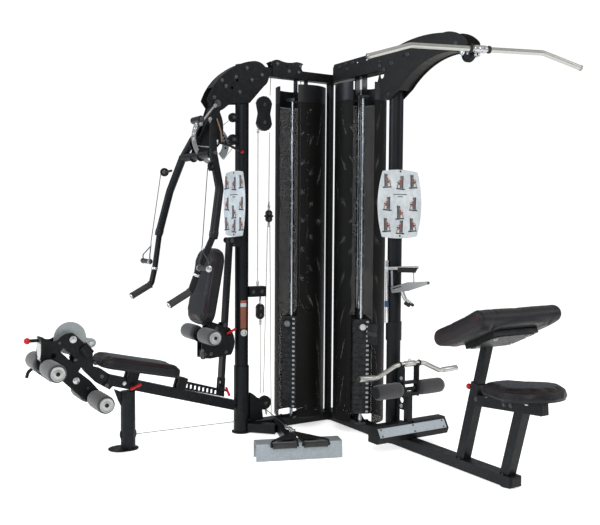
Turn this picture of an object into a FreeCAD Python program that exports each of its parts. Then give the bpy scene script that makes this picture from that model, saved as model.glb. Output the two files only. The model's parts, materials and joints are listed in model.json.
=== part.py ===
"""Corner home gym with two weight stacks, as separate pieces on a welded steel frame.

The origin is on the floor at the inside corner. The press arm of the frame runs along -X, the
pulldown arm runs along -Y, and +Z is up. Lengths are in millimetres.
"""
import FreeCAD, Part
import math
import os

V = FreeCAD.Vector
UP = V(0, 0, 1)

SIZES = {
    "press_reach": 609,
    "pulldown_reach": 605,
    "column_diameter": 76,
    "sleeve_diameter": 86,
    "foot_height": 6,
    "base_height": 50,
    "base_width": 72,
    "top_beam": 50,
    "top_beam_axis": 2035,
    "plate_thickness": 5,
    "plate_offset": 38.5,
    "rail_height": 54,
    "rail_width": 50,
    "post_tube": 50,
    "inner_tube": 40,
    "shroud_radius": 146,
    "shroud_wall": 3,
    "shroud_bottom": 62,
    "shroud_top": 1965,
    "band_bottom": 1868,
    "left_stack_x": 226,
    "right_stack_y": 283,
    "weight_width": 110,
    "weight_length": 250,
    "weight_thickness": 25.4,
    "weight_pitch": 26.6,
    "weight_floor": 118,
    "weight_count": 20,
    "rod_diameter": 19,
    "rod_spread": 90,
    "pin_diameter": 10,
    "knob_diameter": 28,
    "roller_diameter": 88,
    "axle_diameter": 20,
    "axle_bore": 20.6,
    "cable_diameter": 5,
    "arm_diameter": 44,
    "grip_diameter": 32,
    "bar_diameter": 25,
    "handle_diameter": 28,
    "pad_thickness": 66,
    "seat_thickness": 57,
    "preacher_thickness": 88,
    "pulley_radius": 45,
    "pulley_width": 18,
    "chart_thickness": 3,
}

doc = FreeCAD.newDocument("CornerGym")
sheet = doc.addObject("Spreadsheet::Sheet", "Sizes")
for row, (alias, value) in enumerate(SIZES.items(), start=1):
    sheet.set(f"A{row}", alias)
    sheet.set(f"B{row}", str(value))
    sheet.setAlias(f"B{row}", alias)
doc.recompute()

PARTS = []


def size(alias):
    """The value of one cell of the sheet."""
    return float(sheet.get(alias))


def publish(obj, label):
    """Mark an object as a sub-part that is written to its own file."""
    obj.Label = label
    PARTS.append(obj)
    return obj


# ---------------------------------------------------------------- primitives
def rod(name, start, end, diameter):
    """A round bar from start to end; diameter is a cell of the sheet or an expression of cells."""
    obj = doc.addObject("Part::Cylinder", name)
    obj.setExpression("Radius", f"({diameter}) / 2" if "Sizes." in diameter else f"Sizes.{diameter} / 2")
    obj.Height = (end - start).Length
    obj.Placement = FreeCAD.Placement(start, FreeCAD.Rotation(UP, end - start))
    return obj


def disc(name, centre, axis, radius, width):
    """A round slab of a given radius, centred on a point."""
    direction = V(axis).normalize()
    obj = doc.addObject("Part::Cylinder", name)
    obj.Radius = radius
    obj.Height = width
    start = centre - direction * (width / 2)
    obj.Placement = FreeCAD.Placement(start, FreeCAD.Rotation(UP, direction))
    return obj


def beam(name, start, end, across, deep):
    """A square-cornered bar along the line from start to end, its depth as upright as it can be."""
    along = (end - start).normalize()
    side = UP.cross(along).normalize()
    upright = along.cross(side)
    obj = doc.addObject("Part::Box", name)
    obj.Length = (end - start).Length
    obj.setExpression("Width", str(across) if not isinstance(across, str) else f"Sizes.{across}")
    obj.setExpression("Height", str(deep) if not isinstance(deep, str) else f"Sizes.{deep}")
    wide = size(across) if isinstance(across, str) else across
    tall = size(deep) if isinstance(deep, str) else deep
    base = start - side * (wide / 2) - upright * (tall / 2)
    obj.Placement = FreeCAD.Placement(base, FreeCAD.Rotation(along, side, upright, "XYZ"))
    return obj


def block(name, low, high):
    """A box from its lowest corner to its highest corner."""
    obj = doc.addObject("Part::Box", name)
    obj.Length, obj.Width, obj.Height = high.x - low.x, high.y - low.y, high.z - low.z
    obj.Placement = FreeCAD.Placement(low, FreeCAD.Rotation())
    return obj


def weld(name, items):
    """Pieces welded into one solid."""
    obj = doc.addObject("Part::MultiFuse", name)
    obj.Shapes = items
    return obj


def group(name, items):
    """Separate solids that share one node."""
    obj = doc.addObject("Part::Compound", name)
    obj.Links = items
    return obj


def cut(name, base, tools):
    """A piece with other shapes taken out of it."""
    obj = doc.addObject("Part::Cut", name)
    obj.Base = base
    obj.Tool = tools[0] if len(tools) == 1 else weld(name + "_tools", tools)
    return obj


def solid(name, shape):
    """A piece made with Part's own functions."""
    obj = doc.addObject("Part::Feature", name)
    obj.Shape = shape
    return obj


# ---------------------------------------------------------------- profiles
def profile_edges(start, steps):
    """Edges of a closed outline: a step is the next corner, or (through, end) for an arc."""
    edges = []
    here = V(*start, 0)
    for step in steps + [start]:
        if isinstance(step[0], tuple):
            through, end = step
            edges.append(Part.Arc(here, V(*through, 0), V(*end, 0)))
        else:
            end = step
            if (V(*end, 0) - here).Length < 1e-6:
                continue
            edges.append(Part.LineSegment(here, V(*end, 0)))
        here = V(*end, 0)
    return edges


def plate(name, plane, start, steps, offset, holes=(), thickness="plate_thickness"):
    """A flat plate in the XZ or YZ plane, from offset outwards; a hole is (a, b, radius)."""
    body = doc.addObject("PartDesign::Body", name)
    role = {"XZ": "XZ_Plane", "YZ": "YZ_Plane"}[plane]
    origin_plane = next(f for f in body.Origin.OriginFeatures if f.Role == role)
    sketch = body.newObject("Sketcher::SketchObject", name + "_outline")
    sketch.AttachmentSupport = [(origin_plane, "")]
    sketch.MapMode = "FlatFace"
    sketch.addGeometry(profile_edges(start, steps), False)
    for a, b, radius in holes:
        sketch.addGeometry(Part.Circle(V(a, b, 0), UP, radius), False)
    pad = body.newObject("PartDesign::Pad", name + "_pad")
    pad.Profile = sketch
    pad.setExpression("Length", f"Sizes.{thickness}")
    thick = size(thickness)
    if plane == "XZ":
        shift = V(0, offset if offset < 0 else offset + thick, 0)
    else:
        shift = V(offset - thick if offset < 0 else offset, 0, 0)
    body.Placement = FreeCAD.Placement(shift, FreeCAD.Rotation())
    return body


def plate_pair(name, plane, start, steps, holes=(), offset=None):
    """Two like plates, one each side of the centre plane."""
    gap = size("plate_offset") if offset is None else offset
    return [
        plate(name + "_near", plane, start, steps, -gap, holes),
        plate(name + "_far", plane, start, steps, gap, holes),
    ]


def curved_web(name, plane, points, width, thickness):
    """A sheet that follows an arc through three points, across the gap between two plates."""
    inner = Part.Arc(*[V(*p, 0) for p in points])
    centre = inner.toShape().Curve.Center
    outer_points = [V(*p, 0) + (V(*p, 0) - centre).normalize() * thickness for p in points]
    outer = Part.Arc(*outer_points)
    near_end = Part.LineSegment(V(*points[0], 0), outer_points[0])
    far_end = Part.LineSegment(V(*points[2], 0), outer_points[2])
    edges = [item.toShape() for item in (inner, outer, near_end, far_end)]
    wire = Part.Wire(Part.__sortEdges__(edges))
    shape = Part.Face(wire).extrude(V(0, 0, width))
    shape.translate(V(0, 0, -width / 2))
    axes = (V(1, 0, 0), V(0, 0, 1)) if plane == "XZ" else (V(0, 1, 0), V(0, 0, 1))
    turn = FreeCAD.Rotation(axes[0], axes[1], axes[0].cross(axes[1]), "XYZ")
    shape.Placement = FreeCAD.Placement(V(), turn).multiply(shape.Placement)
    return solid(name, shape)


def extrude_profile(name, plane, start, steps, low, high):
    """A prism of a closed outline in the XZ or YZ plane between two offsets."""
    wire = Part.Wire([edge.toShape() for edge in profile_edges(start, steps)])
    axes = (V(1, 0, 0), V(0, 0, 1)) if plane == "XZ" else (V(0, 1, 0), V(0, 0, 1))
    normal = axes[0].cross(axes[1])
    wire.Placement = FreeCAD.Placement(V(), FreeCAD.Rotation(axes[0], axes[1], normal, "XYZ"))
    across = V(0, 1, 0) if plane == "XZ" else V(1, 0, 0)
    face = Part.Face(wire)
    face.translate(across * low)
    return solid(name, face.extrude(across * (high - low)))


# ---------------------------------------------------------------- bent bars
def rounded_path(points, radius):
    """Straight runs joined by tangent arcs of one radius."""
    edges = []
    here = points[0]
    for before, corner, after in zip(points, points[1:], points[2:]):
        into = (corner - before).normalize()
        out = (after - corner).normalize()
        half = into.getAngle(out) / 2
        reach = radius * math.tan(half)
        inward = (out - into).normalize()
        middle = corner + inward * (radius / math.cos(half) - radius)
        first, last = corner - into * reach, corner + out * reach
        edges.append(Part.LineSegment(here, first).toShape())
        edges.append(Part.Arc(first, middle, last).toShape())
        here = last
    edges.append(Part.LineSegment(here, points[-1]).toShape())
    return Part.Wire(edges)


def bent_bar(points, radius, diameter):
    """The shape of a round bar that follows a rounded path."""
    path = rounded_path(points, radius)
    start = (points[1] - points[0]).normalize()
    circle = Part.Wire([Part.Circle(points[0], start, diameter / 2).toShape()])
    return path.makePipeShell([circle], True, False)


def rounded_slab(length, width, thickness, corner, crown):
    """A cushion lying on Z = 0, its long side along X, with rounded corners and edges."""
    slab = Part.makeBox(length, width, thickness, V(-length / 2, -width / 2, 0))
    upright = [e for e in slab.Edges if abs(e.tangentAt(e.FirstParameter).z) > 0.9]
    slab = slab.makeFillet(corner, upright)
    rims = [e for e in slab.Edges if e.BoundBox.ZLength < 1e-6]
    return slab.makeFillet(crown, rims)


def place(shape, centre, along, upright):
    """Move a shape made about the origin to a centre, with its X along and its Z upright."""
    x = V(along).normalize()
    y = V(upright).cross(x).normalize()
    shape.Placement = FreeCAD.Placement(centre, FreeCAD.Rotation(x, y, x.cross(y), "XYZ"))
    return shape


# ---------------------------------------------------------------- shared places
COLUMN_RADIUS = size("column_diameter") / 2
SLEEVE_RADIUS = size("sleeve_diameter") / 2
FOOT = size("foot_height")
BASE_AXIS = FOOT + size("base_height") / 2
BASE_TOP = FOOT + size("base_height")
BEAM_AXIS = size("top_beam_axis")
COLUMN_TOP = BEAM_AXIS + size("top_beam") / 2
LEFT_X = -size("press_reach")
RIGHT_Y = -size("pulldown_reach")
BEAM_END_Y = -1494
LEG_X = -1276
PRESS_PIVOT = V(-783, 0, 1828)
LEG_PIVOT = V(-1576, 0, 605)
UPPER_AXLE = V(-1700, 0, 473)
LOWER_AXLE = V(-1467, 0, 298)
POST_PIVOT = V(-685.8, 0, 1088)
NOSE_PULLEY = V(0, -1150, 1998)
ROW_ANGLE = math.radians(250.2)
ROW_WAY = V(math.cos(ROW_ANGLE), math.sin(ROW_ANGLE), 0)
ROW_SIDE = V(math.cos(ROW_ANGLE + math.pi / 2), math.sin(ROW_ANGLE + math.pi / 2), 0)
ROW_START = V(-396, -46, BASE_AXIS)
ROW_LENGTH = 526
STACKS = {
    "left": (V(-size("left_stack_x"), 0, 0), math.radians(208.4)),
    "right": (V(0, -size("right_stack_y"), 0), math.radians(241.6)),
}


def facing(angle):
    """The level direction at an angle from +X."""
    return V(math.cos(angle), math.sin(angle), 0)


# ---------------------------------------------------------------- base and columns
def make_base():
    """Beams on the floor, their rubber feet and the low row station's tube."""
    left_start = V(LEFT_X + SLEEVE_RADIUS, 0, BASE_AXIS)
    left_end = V(-size("base_width") / 2, 0, BASE_AXIS)
    left = beam("left_beam", left_start, left_end, "base_width", "base_height")
    publish(left, "left_base_beam")
    right = beam("right_beam", V(0, size("base_width") / 2, BASE_AXIS), V(0, BEAM_END_Y, BASE_AXIS),
                 "base_width", "base_height")
    publish(right, "right_base_beam")
    tube = beam("row_tube", ROW_START, ROW_START + ROW_WAY * ROW_LENGTH, "rail_width", "base_height")
    brace = beam("row_brace", V(-577, -33, BASE_AXIS), V(-467, -147, BASE_AXIS), "rail_width", "base_height")
    beam_room = block("row_beam_room", V(-700, -size("base_width") / 2 - 0.2, 0), V(-300, 40, 80))
    publish(cut("row_trimmed", weld("row_weldment", [tube, brace]), [beam_room]), "row_base_tube")
    feet = [
        ("corner", V(0, 0, 0), 40), ("column", V(LEFT_X, 0, 0), 54), ("leg", V(LEG_X, 0, 0), 54),
        ("end", V(0, BEAM_END_Y + 45, 0), 34), ("middle", V(0, RIGHT_Y, 0), 34),
        ("row", ROW_START + ROW_WAY * 60 - V(0, 0, BASE_AXIS), 24),
    ]
    discs = [disc(f"foot_{name}", centre + UP * (FOOT / 2), UP, radius, FOOT)
             for name, centre, radius in feet]
    publish(group("feet_group", discs), "rubber_feet")


def make_row_plate():
    """The box that the feet push against at the low row station."""
    depth, height, length = 92, 88, 441
    centre = ROW_START + ROW_WAY * (ROW_LENGTH + depth / 2) + UP * (height / 2 - BASE_AXIS)
    box = Part.makeBox(length, depth, height, V(-length / 2, -depth / 2, -height / 2))
    hollow = Part.makeBox(length + 2, depth - 8, height - 4, V(-length / 2 - 1, -depth / 2 + 4, -height / 2))
    shell = box.cut(hollow)
    publish(solid("row_plate_shell", place(shell, centre, ROW_SIDE, UP)), "row_foot_plate")


def make_columns():
    """The two round columns with their sleeves, and the corner post with the two top beams."""
    left = rod("left_tube", V(LEFT_X, 0, FOOT), V(LEFT_X, 0, COLUMN_TOP), "column_diameter")
    left_sleeve = rod("left_sleeve", V(LEFT_X, 0, FOOT), V(LEFT_X, 0, 379), "sleeve_diameter")
    publish(weld("left_column_weld", [left, left_sleeve]), "left_column")
    right = rod("right_tube", V(0, RIGHT_Y, BASE_TOP), V(0, RIGHT_Y, COLUMN_TOP), "column_diameter")
    right_sleeve = rod("right_sleeve", V(0, RIGHT_Y, 560), V(0, RIGHT_Y, 660), "sleeve_diameter")
    publish(weld("right_column_weld", [right, right_sleeve]), "right_column")
    corner = V(-14, 9, 0)
    half = size("top_beam") / 2
    post_height = BEAM_AXIS - half - BASE_TOP
    post = disc("corner_tube", corner + UP * (BASE_TOP + post_height / 2), UP, 22, post_height)
    left_beam = beam("left_top", V(LEFT_X + COLUMN_RADIUS, 0, BEAM_AXIS), V(-half, 0, BEAM_AXIS),
                     "top_beam", "top_beam")
    right_beam = beam("right_top", V(0, half + 11, BEAM_AXIS), V(0, RIGHT_Y + COLUMN_RADIUS, BEAM_AXIS),
                      "top_beam", "top_beam")
    publish(group("corner_group", [post, left_beam, right_beam]), "corner_frame")


def make_top_bracket():
    """Two cheeks over the left top beam that carry the stack cable's pulleys."""
    outline = [(-232, 2012), (-232, 2060), ((-240, 2080), (-226, 2100)), ((-250, 2106), (-277, 2107)),
               ((-335, 2098), (-383, 2105)), ((-420, 2103), (-441, 2090)), ((-428, 2075), (-431, 2055))]
    holes = [(-337, 2078, 7)]
    cheeks = [
        plate("bracket_near", "XZ", (-431, 2012), outline, -25.5, holes),
        plate("bracket_far", "XZ", (-431, 2012), outline, 25.5, holes),
    ]
    publish(group("bracket_pair", cheeks), "top_pulley_bracket")


def make_press_head():
    """The rounded cheeks on the left column that carry the press arm's pivot."""
    steps = [((-794, 1935), (-701, 2022)), ((-645, 2055), (-562, 2080)), ((-506, 2072), (-470, 2035)),
             ((-464, 1990), (-491, 1950)), (-583, 1848), (-698, 1838), (-745, 1802),
             ((-783, 1792), (-816, 1812))]
    holes = [(PRESS_PIVOT.x, PRESS_PIVOT.z, size("axle_bore") / 2), (-692, 1921, 8), (-661, 1965, 8)]
    cheeks = plate_pair("press_cheek", "XZ", (-841, 1845), steps, holes)
    web = curved_web("press_web", "XZ", [(-800, 1915), (-725, 1998), (-590, 2066)],
                     2 * size("plate_offset") + 2, 5)
    column = disc("press_head_room", V(LEFT_X, 0, 1990), UP, COLUMN_RADIUS + 0.2, 300)
    publish(cut("press_head_cut", weld("press_head_weld", cheeks + [web]), [column]), "press_head")


def make_lat_head():
    """The long curved cheeks on the right column that carry the pulldown pulleys."""
    steps = [(-75, 2110), (-653, 2110), ((-840, 2128), (-1010, 2114)), ((-1130, 2084), (-1172, 2052)),
             ((-1178, 2020), (-1150, 2000)), (-1085, 2012), ((-860, 1988), (-690, 1890)), (-600, 1840),
             (-580, 1842), (-494, 1951), (-517, 2008), (-62, 2012)]
    holes = [(-392, 2086, 11), (-533, 1979, 17), (NOSE_PULLEY.y + 25, 2030, 5), (-713, 2052, 6),
             (-508, 2060, 5)]
    cheeks = plate_pair("lat_cheek", "YZ", (-62, 2091), steps, holes)
    web = curved_web("lat_web", "YZ", [(-665, 1885), (-815, 1978), (-1060, 2019)],
                     2 * size("plate_offset") + 2, 5)
    publish(weld("lat_head_weld", cheeks + [web]), "lat_head")


# ---------------------------------------------------------------- bench station
RAIL_SLOPE = math.radians(16.6)
RAIL_WAY = V(math.cos(RAIL_SLOPE), 0, -math.sin(RAIL_SLOPE))
RAIL_UP = V(math.sin(RAIL_SLOPE), 0, math.cos(RAIL_SLOPE))
RAIL_FRONT = V(-1392, 0, 379)


def rail_point(x):
    """The rail's centre line at a given X."""
    return RAIL_FRONT + RAIL_WAY * ((x - RAIL_FRONT.x) / RAIL_WAY.x)


def make_bench_frame():
    """The sloping rail, its front leg and the toothed rack for the back post."""
    end = rail_point(LEFT_X - SLEEVE_RADIUS - 8)
    rail = beam("rail_tube", RAIL_FRONT, end, "rail_width", "rail_height")
    leg_top = rail_point(LEG_X).z - 40
    leg = rod("leg_tube", V(LEG_X, 0, FOOT), V(LEG_X, 0, leg_top), "column_diameter")
    gusset_steps = [(-1352, 324), (-1330, 262), (-1302, 205)]
    gusset = extrude_profile("leg_gusset", "XZ", (-1302, leg_top - 4), gusset_steps, -4, 4)
    rack_top = [(-1000, 292), (-958, 327), (-718, 253), (-718, 212)]
    bar = extrude_profile("rack_bar", "XZ", rack_top[0], rack_top[1:], -4, 4)
    windows = []
    for index in range(8):
        centre = V(-944 + 24.6 * index, 0, 297.5 - 7.55 * index)
        windows.append(solid(f"rack_window_{index}", place(
            Part.makeBox(13, 12, 22, V(-6.5, -6, -11)), centre, V(1, 0, -0.1), V(0.1, 0, 1))))
    toothed = cut("rack_toothed", bar, windows)
    lifted = cut("rack_seated", toothed, [beam("rack_seat", RAIL_FRONT, end, 60, size("rail_height"))])
    publish(weld("bench_weld", [rail, leg, gusset, lifted]), "bench_frame")


def make_leg_head():
    """The fixed head at the bench's front that carries the leg lever's pivot."""
    outline = [((-1576, 633), (-1556, 624)), (-1490, 556), (-1466, 520), (-1464, 452), (-1425, 440),
               (-1374, 402), (-1352, 352), (-1380, 326), (-1444, 366), (-1508, 434), (-1545, 500),
               (-1598, 587)]
    bore = size("axle_bore") / 2
    lugs = [plate(f"lug_{side}", "XZ", (-1600, 618), outline, gap, [(LEG_PIVOT.x, LEG_PIVOT.z, bore)])
            for side, gap in (("near", -14), ("far", 14))]
    neck = disc("neck_tube", V(-1502, 0, 536), V(0.645, 0, -0.765), 34, 62)
    slot = disc("neck_slot", LEG_PIVOT, V(0, 1, 0), 142, 26)
    rail_room = beam("rail_room", RAIL_FRONT, rail_point(-1200), "rail_width", "rail_height")
    welded = weld("leg_head_weld", lugs + [cut("neck_cut", neck, [slot])])
    publish(cut("leg_head_cut", welded, [rail_room]), "leg_head")


def make_column_brackets():
    """Brackets on the left column: the back post's hinge, the middle arm and the low pulley cheeks."""
    face = LEFT_X - COLUMN_RADIUS
    ear_steps = [(face - 40, 1072), ((POST_PIVOT.x - 22, 1088), (face - 40, 1104)), (face + 12, 1106)]
    hinge_parts = [
        extrude_profile("hinge_ear_near", "XZ", (face + 12, 1052), ear_steps, -32, -26),
        extrude_profile("hinge_ear_far", "XZ", (face + 12, 1052), ear_steps, 26, 32),
        block("hinge_block", V(face - 6, -32, 1052), V(face + 14, 32, 1106)),
        rod("hinge_pin", POST_PIVOT - V(0, 32, 0), POST_PIVOT + V(0, 32, 0), "pin_diameter"),
    ]
    column = rod("hinge_room", V(LEFT_X, 0, 1000), V(LEFT_X, 0, 1200), "column_diameter")
    hinge = cut("hinge_saddle", weld("hinge_weld", hinge_parts), [column])
    arm = block("middle_arm", V(LEFT_X + COLUMN_RADIUS, -25, 767), V(-463, 25, 825))
    edge = LEFT_X + SLEEVE_RADIUS + 1
    cheek_steps = [(edge, 225), ((-520, 190), (-486, 120)), (-480, 60)]
    cheeks = [
        extrude_profile("low_cheek_near", "XZ", (edge, 60), cheek_steps, -24, -18),
        extrude_profile("low_cheek_far", "XZ", (edge, 60), cheek_steps, 18, 24),
    ]
    publish(group("column_bracket_group", [hinge, arm] + cheeks), "left_column_brackets")


# ---------------------------------------------------------------- moving bench pieces
def make_leg_developer():
    """The cable cam, the roller lever, its two roller pairs and the start-angle pin."""
    bore = size("axle_bore") / 2
    cam = disc("cam_disc", LEG_PIVOT, V(0, 1, 0), 81, 8)
    lobe_centre = LEG_PIVOT + V(108, 0, -33)
    lobe = disc("cam_lobe", lobe_centre, V(0, 1, 0), 24, 8)
    neck = beam("cam_neck", LEG_PIVOT + V(50, 0, -16), lobe_centre, 8, 44)
    axle = rod("cam_axle", LEG_PIVOT - V(0, 58, 0), LEG_PIVOT + V(0, 58, 0), "axle_diameter")
    publish(weld("cam_weld", [cam, lobe, neck, axle]), "leg_cam")
    outline = [((-1660, 602), (-1640, 615)), ((-1606, 634), (-1566, 629)), (-1541, 600), (-1545, 538),
               (-1528, 470), (-1548, 440), (-1490, 390), (-1440, 330), ((-1436, 288), (-1480, 264)),
               (-1511, 290), (-1590, 368), (-1650, 430), (-1728, 455), (-1734, 520), (-1722, 620)]
    holes = [(LEG_PIVOT.x, LEG_PIVOT.z, bore), (UPPER_AXLE.x, UPPER_AXLE.z, bore),
             (LOWER_AXLE.x, LOWER_AXLE.z, bore), (-1670, 529, 13)]
    sides = plate_pair("lever_side", "XZ", (-1700, 612), outline, holes, offset=44)
    window = solid("lever_window", place(Part.makeBox(92, 120, 24, V(-46, -60, -12)), V(-1597, 0, 524),
                                         V(0.70, 0, -0.71), V(0.71, 0, 0.70)))
    front = block("lever_front", V(-1728, -46, 500), V(-1722, 46, 618))
    brace = rod("lever_brace", V(-1561, -52, 396), V(-1561, 52, 396), "pin_diameter")
    cleared = cut("lever_sides", weld("lever_weld", sides + [front, brace]), [window])
    publish(cleared, "leg_lever")
    for label, axle_at in (("upper_leg_rollers", UPPER_AXLE), ("lower_leg_rollers", LOWER_AXLE)):
        publish(roller_pair(label, axle_at, V(0, 1, 0), 55, 240, "roller_diameter"), label)
    publish(pull_pin("leg_pin", V(-1728.5, 0, 604), V(-1, 0, 0), 24), "leg_pin")


def pull_pin(name, start, way, reach):
    """A sprung pin's stem with its ball knob, pulled along a direction."""
    stem = rod(f"{name}_stem", start, start + way * (reach + 4), "pin_diameter")
    ball = doc.addObject("Part::Sphere", f"{name}_ball")
    ball.setExpression("Radius", "Sizes.knob_diameter / 2")
    ball.Placement = FreeCAD.Placement(start + way * (reach + 10), FreeCAD.Rotation())
    return weld(f"{name}_weld", [stem, ball])


def roller_pair(name, centre, axis, inner, outer, diameter):
    """Two foam rollers on one axle."""
    direction = V(axis).normalize()
    rollers = []
    for index, sign in enumerate((-1, 1)):
        start, end = centre + direction * (sign * inner), centre + direction * (sign * outer)
        rollers.append(rod(f"{name}_{index}", start, end, diameter))
    axle = rod(f"{name}_axle", centre - direction * outer, centre + direction * outer, "axle_diameter")
    return weld(f"{name}_weld", rollers + [axle])


POST_FOOT = V(-741, 0, 232)
POST_WAY = (POST_FOOT - POST_PIVOT).normalize()
BACK_AXLE = V(-862, 0, 576)


def make_back_rest():
    """The hinged back post, the pad that slides on it and the rollers below the pad."""
    tube = beam("post_tube_bar", POST_PIVOT + POST_WAY * 14, POST_PIVOT + POST_WAY * 800, 48, 22)
    eye = disc("post_eye", POST_PIVOT, V(0, 1, 0), 15, 48)
    eye_bore = disc("post_eye_bore", POST_PIVOT, V(0, 1, 0), 5.3, 60)
    forks = []
    for side, gap in (("near", -9.5), ("far", 9.5)):
        start = POST_PIVOT + POST_WAY * 768 + V(0, gap, 0)
        forks.append(beam(f"fork_{side}", start, start + POST_WAY * 74, 6, 40))
    publish(cut("post_cut", weld("post_weld", [tube, eye] + forks), [eye_bore]), "back_post")
    pad_top, pad_foot = V(-828, 0, 1058), V(-908, 0, 630)
    along = (pad_top - pad_foot).normalize()
    outward = along.cross(V(0, 1, 0))
    pad = rounded_slab((pad_top - pad_foot).Length, 270, size("pad_thickness"), 88, 14)
    centre = (pad_top + pad_foot) * 0.5 - outward * size("pad_thickness")
    publish(solid("back_pad_slab", place(pad, centre, along, outward)), "back_pad")
    cheek_steps = [(-700, 604), ((-668, 530), (-690, 452)), (-815, 440), (-868, 446), (-868, 530),
                   ((-888, 575), (-860, 599)), (-838, 604)]
    cheeks = [
        extrude_profile("carriage_near", "XZ", (-828, 650), cheek_steps, -31, -26),
        extrude_profile("carriage_far", "XZ", (-828, 650), cheek_steps, 26, 31),
    ]
    spacer = block("carriage_spacer", V(-862, -31, 446), V(-800, 31, 486))
    stay = block("carriage_stay", V(-800, -31, 596), V(-770, 31, 612))
    axle_room = disc("carriage_bore", BACK_AXLE, V(0, 1, 0), size("axle_bore") / 2, 90)
    frame = cut("carriage_cut", weld("carriage_weld", cheeks + [spacer, stay]), [axle_room])
    publish(frame, "back_carriage")
    publish(pull_pin("back_rest_pin", V(-700, -31.5, 560), V(0, -1, 0), 12), "back_rest_pin")
    publish(roller_pair("back_rollers", BACK_AXLE, V(0, 1, 0), 36, 190, "Sizes.roller_diameter - 5"),
            "back_rollers")
    pin_at = POST_PIVOT + POST_WAY * 826 + V(0, -12.8, 0)
    publish(pull_pin("back_pin", pin_at, V(0, -1, 0), 20), "back_pin")


def make_bench_seat():
    """The bench cushion with the two blocks that slide on the rail."""
    front, rear = V(-1441, 0, 516), V(-1000, 0, 417)
    along = (rear - front).normalize()
    upright = along.cross(V(0, 1, 0))
    centre = (front + rear) * 0.5 - upright * size("seat_thickness")
    pad = rounded_slab((rear - front).Length, 276, size("seat_thickness"), 70, 14)
    publish(solid("bench_seat_slab", place(pad, centre, along, upright)), "bench_seat")
    blocks = []
    skirt = 56
    for name, x, width in (("front", -1268, 60), ("rear", -997, 50)):
        foot = rail_point(x) + RAIL_UP * (size("rail_height") / 2 + 0.4)
        share = (x - front.x) / (rear.x - front.x)
        head = front + (rear - front) * share - upright * (size("seat_thickness") + 0.5)
        height = head.z - foot.z - 9
        bracket = Part.makeBox(width, 60, height, V(-width / 2, -30, 0))
        rack_room = Part.makeBox(width + 2, 20, height - 6, V(-width / 2 - 1, -10, -1))
        bracket = bracket.cut(rack_room)
        if name == "front":
            for side in (-1, 1):
                low = 25.6 if side > 0 else -30
                bracket = bracket.fuse(Part.makeBox(width, 4.4, skirt, V(-width / 2, low, 2 - skirt)))
        blocks.append(solid(f"seat_block_{name}", place(bracket, foot, RAIL_WAY, RAIL_UP)))
    publish(group("seat_block_pair", blocks), "bench_seat_blocks")
    pin_at = rail_point(-1262) + V(0, -30.4, 0)
    publish(pull_pin("seat_pin", pin_at, V(0, -1, 0), 22), "seat_pin")


# ---------------------------------------------------------------- press station
ARM_POINTS = [V(-849, 150, 1604), V(-905, 325, 1361), V(-959, 365, 1108), V(-1012, 286, 930),
              V(-1040, 270, 838), V(-1150, 270, 778)]


def make_press():
    """The swinging carriage with its cam plates, the two arms and their cable handles."""
    hub = disc("press_hub", PRESS_PIVOT, V(0, 1, 0), 24, 72)
    axle = rod("press_axle", PRESS_PIVOT - V(0, 50, 0), PRESS_PIVOT + V(0, 50, 0), "axle_diameter")
    stem = beam("press_stem", PRESS_PIVOT + V(-4, 0, -14), V(-846, 0, 1618), 44, 40)
    cams = []
    outline = [((-742, 1700), (-752, 1640)), ((-790, 1585), (-850, 1570)),
               ((-905, 1590), (-880, 1650)), (-800, 1800)]
    holes = [(-800 - 14 * index, 1628 - 7 * index, 5) for index in range(4)]
    for side, gap in (("near", -32), ("far", 32)):
        cams.append(plate(f"press_cam_{side}", "XZ", (-772, 1800), outline, gap, holes))
    publish(weld("press_carriage_weld", [hub, axle, stem] + cams), "press_carriage")
    cross = rod("press_cross", V(-880, -175, 1545), V(-880, 175, 1545), "arm_diameter")
    link_steps = [((-783, 1858), (-766, 1838)), (-766, 1790), (-858, 1532), ((-890, 1515), (-902, 1545))]
    link_holes = [(PRESS_PIVOT.x, PRESS_PIVOT.z, size("axle_bore") / 2)]
    links = plate_pair("press_link", "XZ", (-800, 1838), link_steps, link_holes, offset=44)
    publish(weld("press_yoke_weld", [cross] + links), "press_yoke")
    for label, side in (("left_press_arm", 1), ("right_press_arm", -1)):
        points = [V(p.x, p.y * side, p.z) for p in ARM_POINTS]
        upper = bent_bar([V(-880, 198 * side, 1545)] + points[1:3], 60, size("arm_diameter"))
        lower = bent_bar([points[2] + V(4, -6 * side, 14)] + points[3:], 40, size("grip_diameter"))
        knee = Part.makeSphere(23, V(-880, 198 * side, 1545))
        publish(solid(label + "_bar", upper.fuse(lower).fuse(knee)), label)
        grip_at = V(-1022, 393 * side, 961)
        name = "left" if side > 0 else "right"
        grip = rod(f"{name}_grip_bar", grip_at - V(0, 55, 0), grip_at + V(0, 55, 0), "handle_diameter")
        publish(grip, f"{name}_cable_handle")


# ---------------------------------------------------------------- pulldown station
def make_pulldown():
    """The pulldown bar, its clamp and the nose pulley."""
    centre, turn = V(-6, -1215, 2003), math.radians(-18.5)
    way = V(math.cos(turn), math.sin(turn), 0)
    span, bend = 540, 335
    points = [centre - way * span - UP * 62, centre - way * bend,
              centre + way * bend, centre + way * span - UP * 62]
    bar = bent_bar(points, 70, size("bar_diameter"))
    clamp = Part.makeCylinder(17, 60, centre - way * 30, way)
    eye = Part.makeCylinder(6, 34, centre - UP * 48, UP)
    publish(solid("pulldown_bar", bar.fuse(clamp).fuse(eye)), "lat_bar")
    wheel = disc("nose_wheel", NOSE_PULLEY, V(1, 0, 0), size("pulley_radius"), size("pulley_width"))
    publish(wheel, "lat_pulley")


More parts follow.
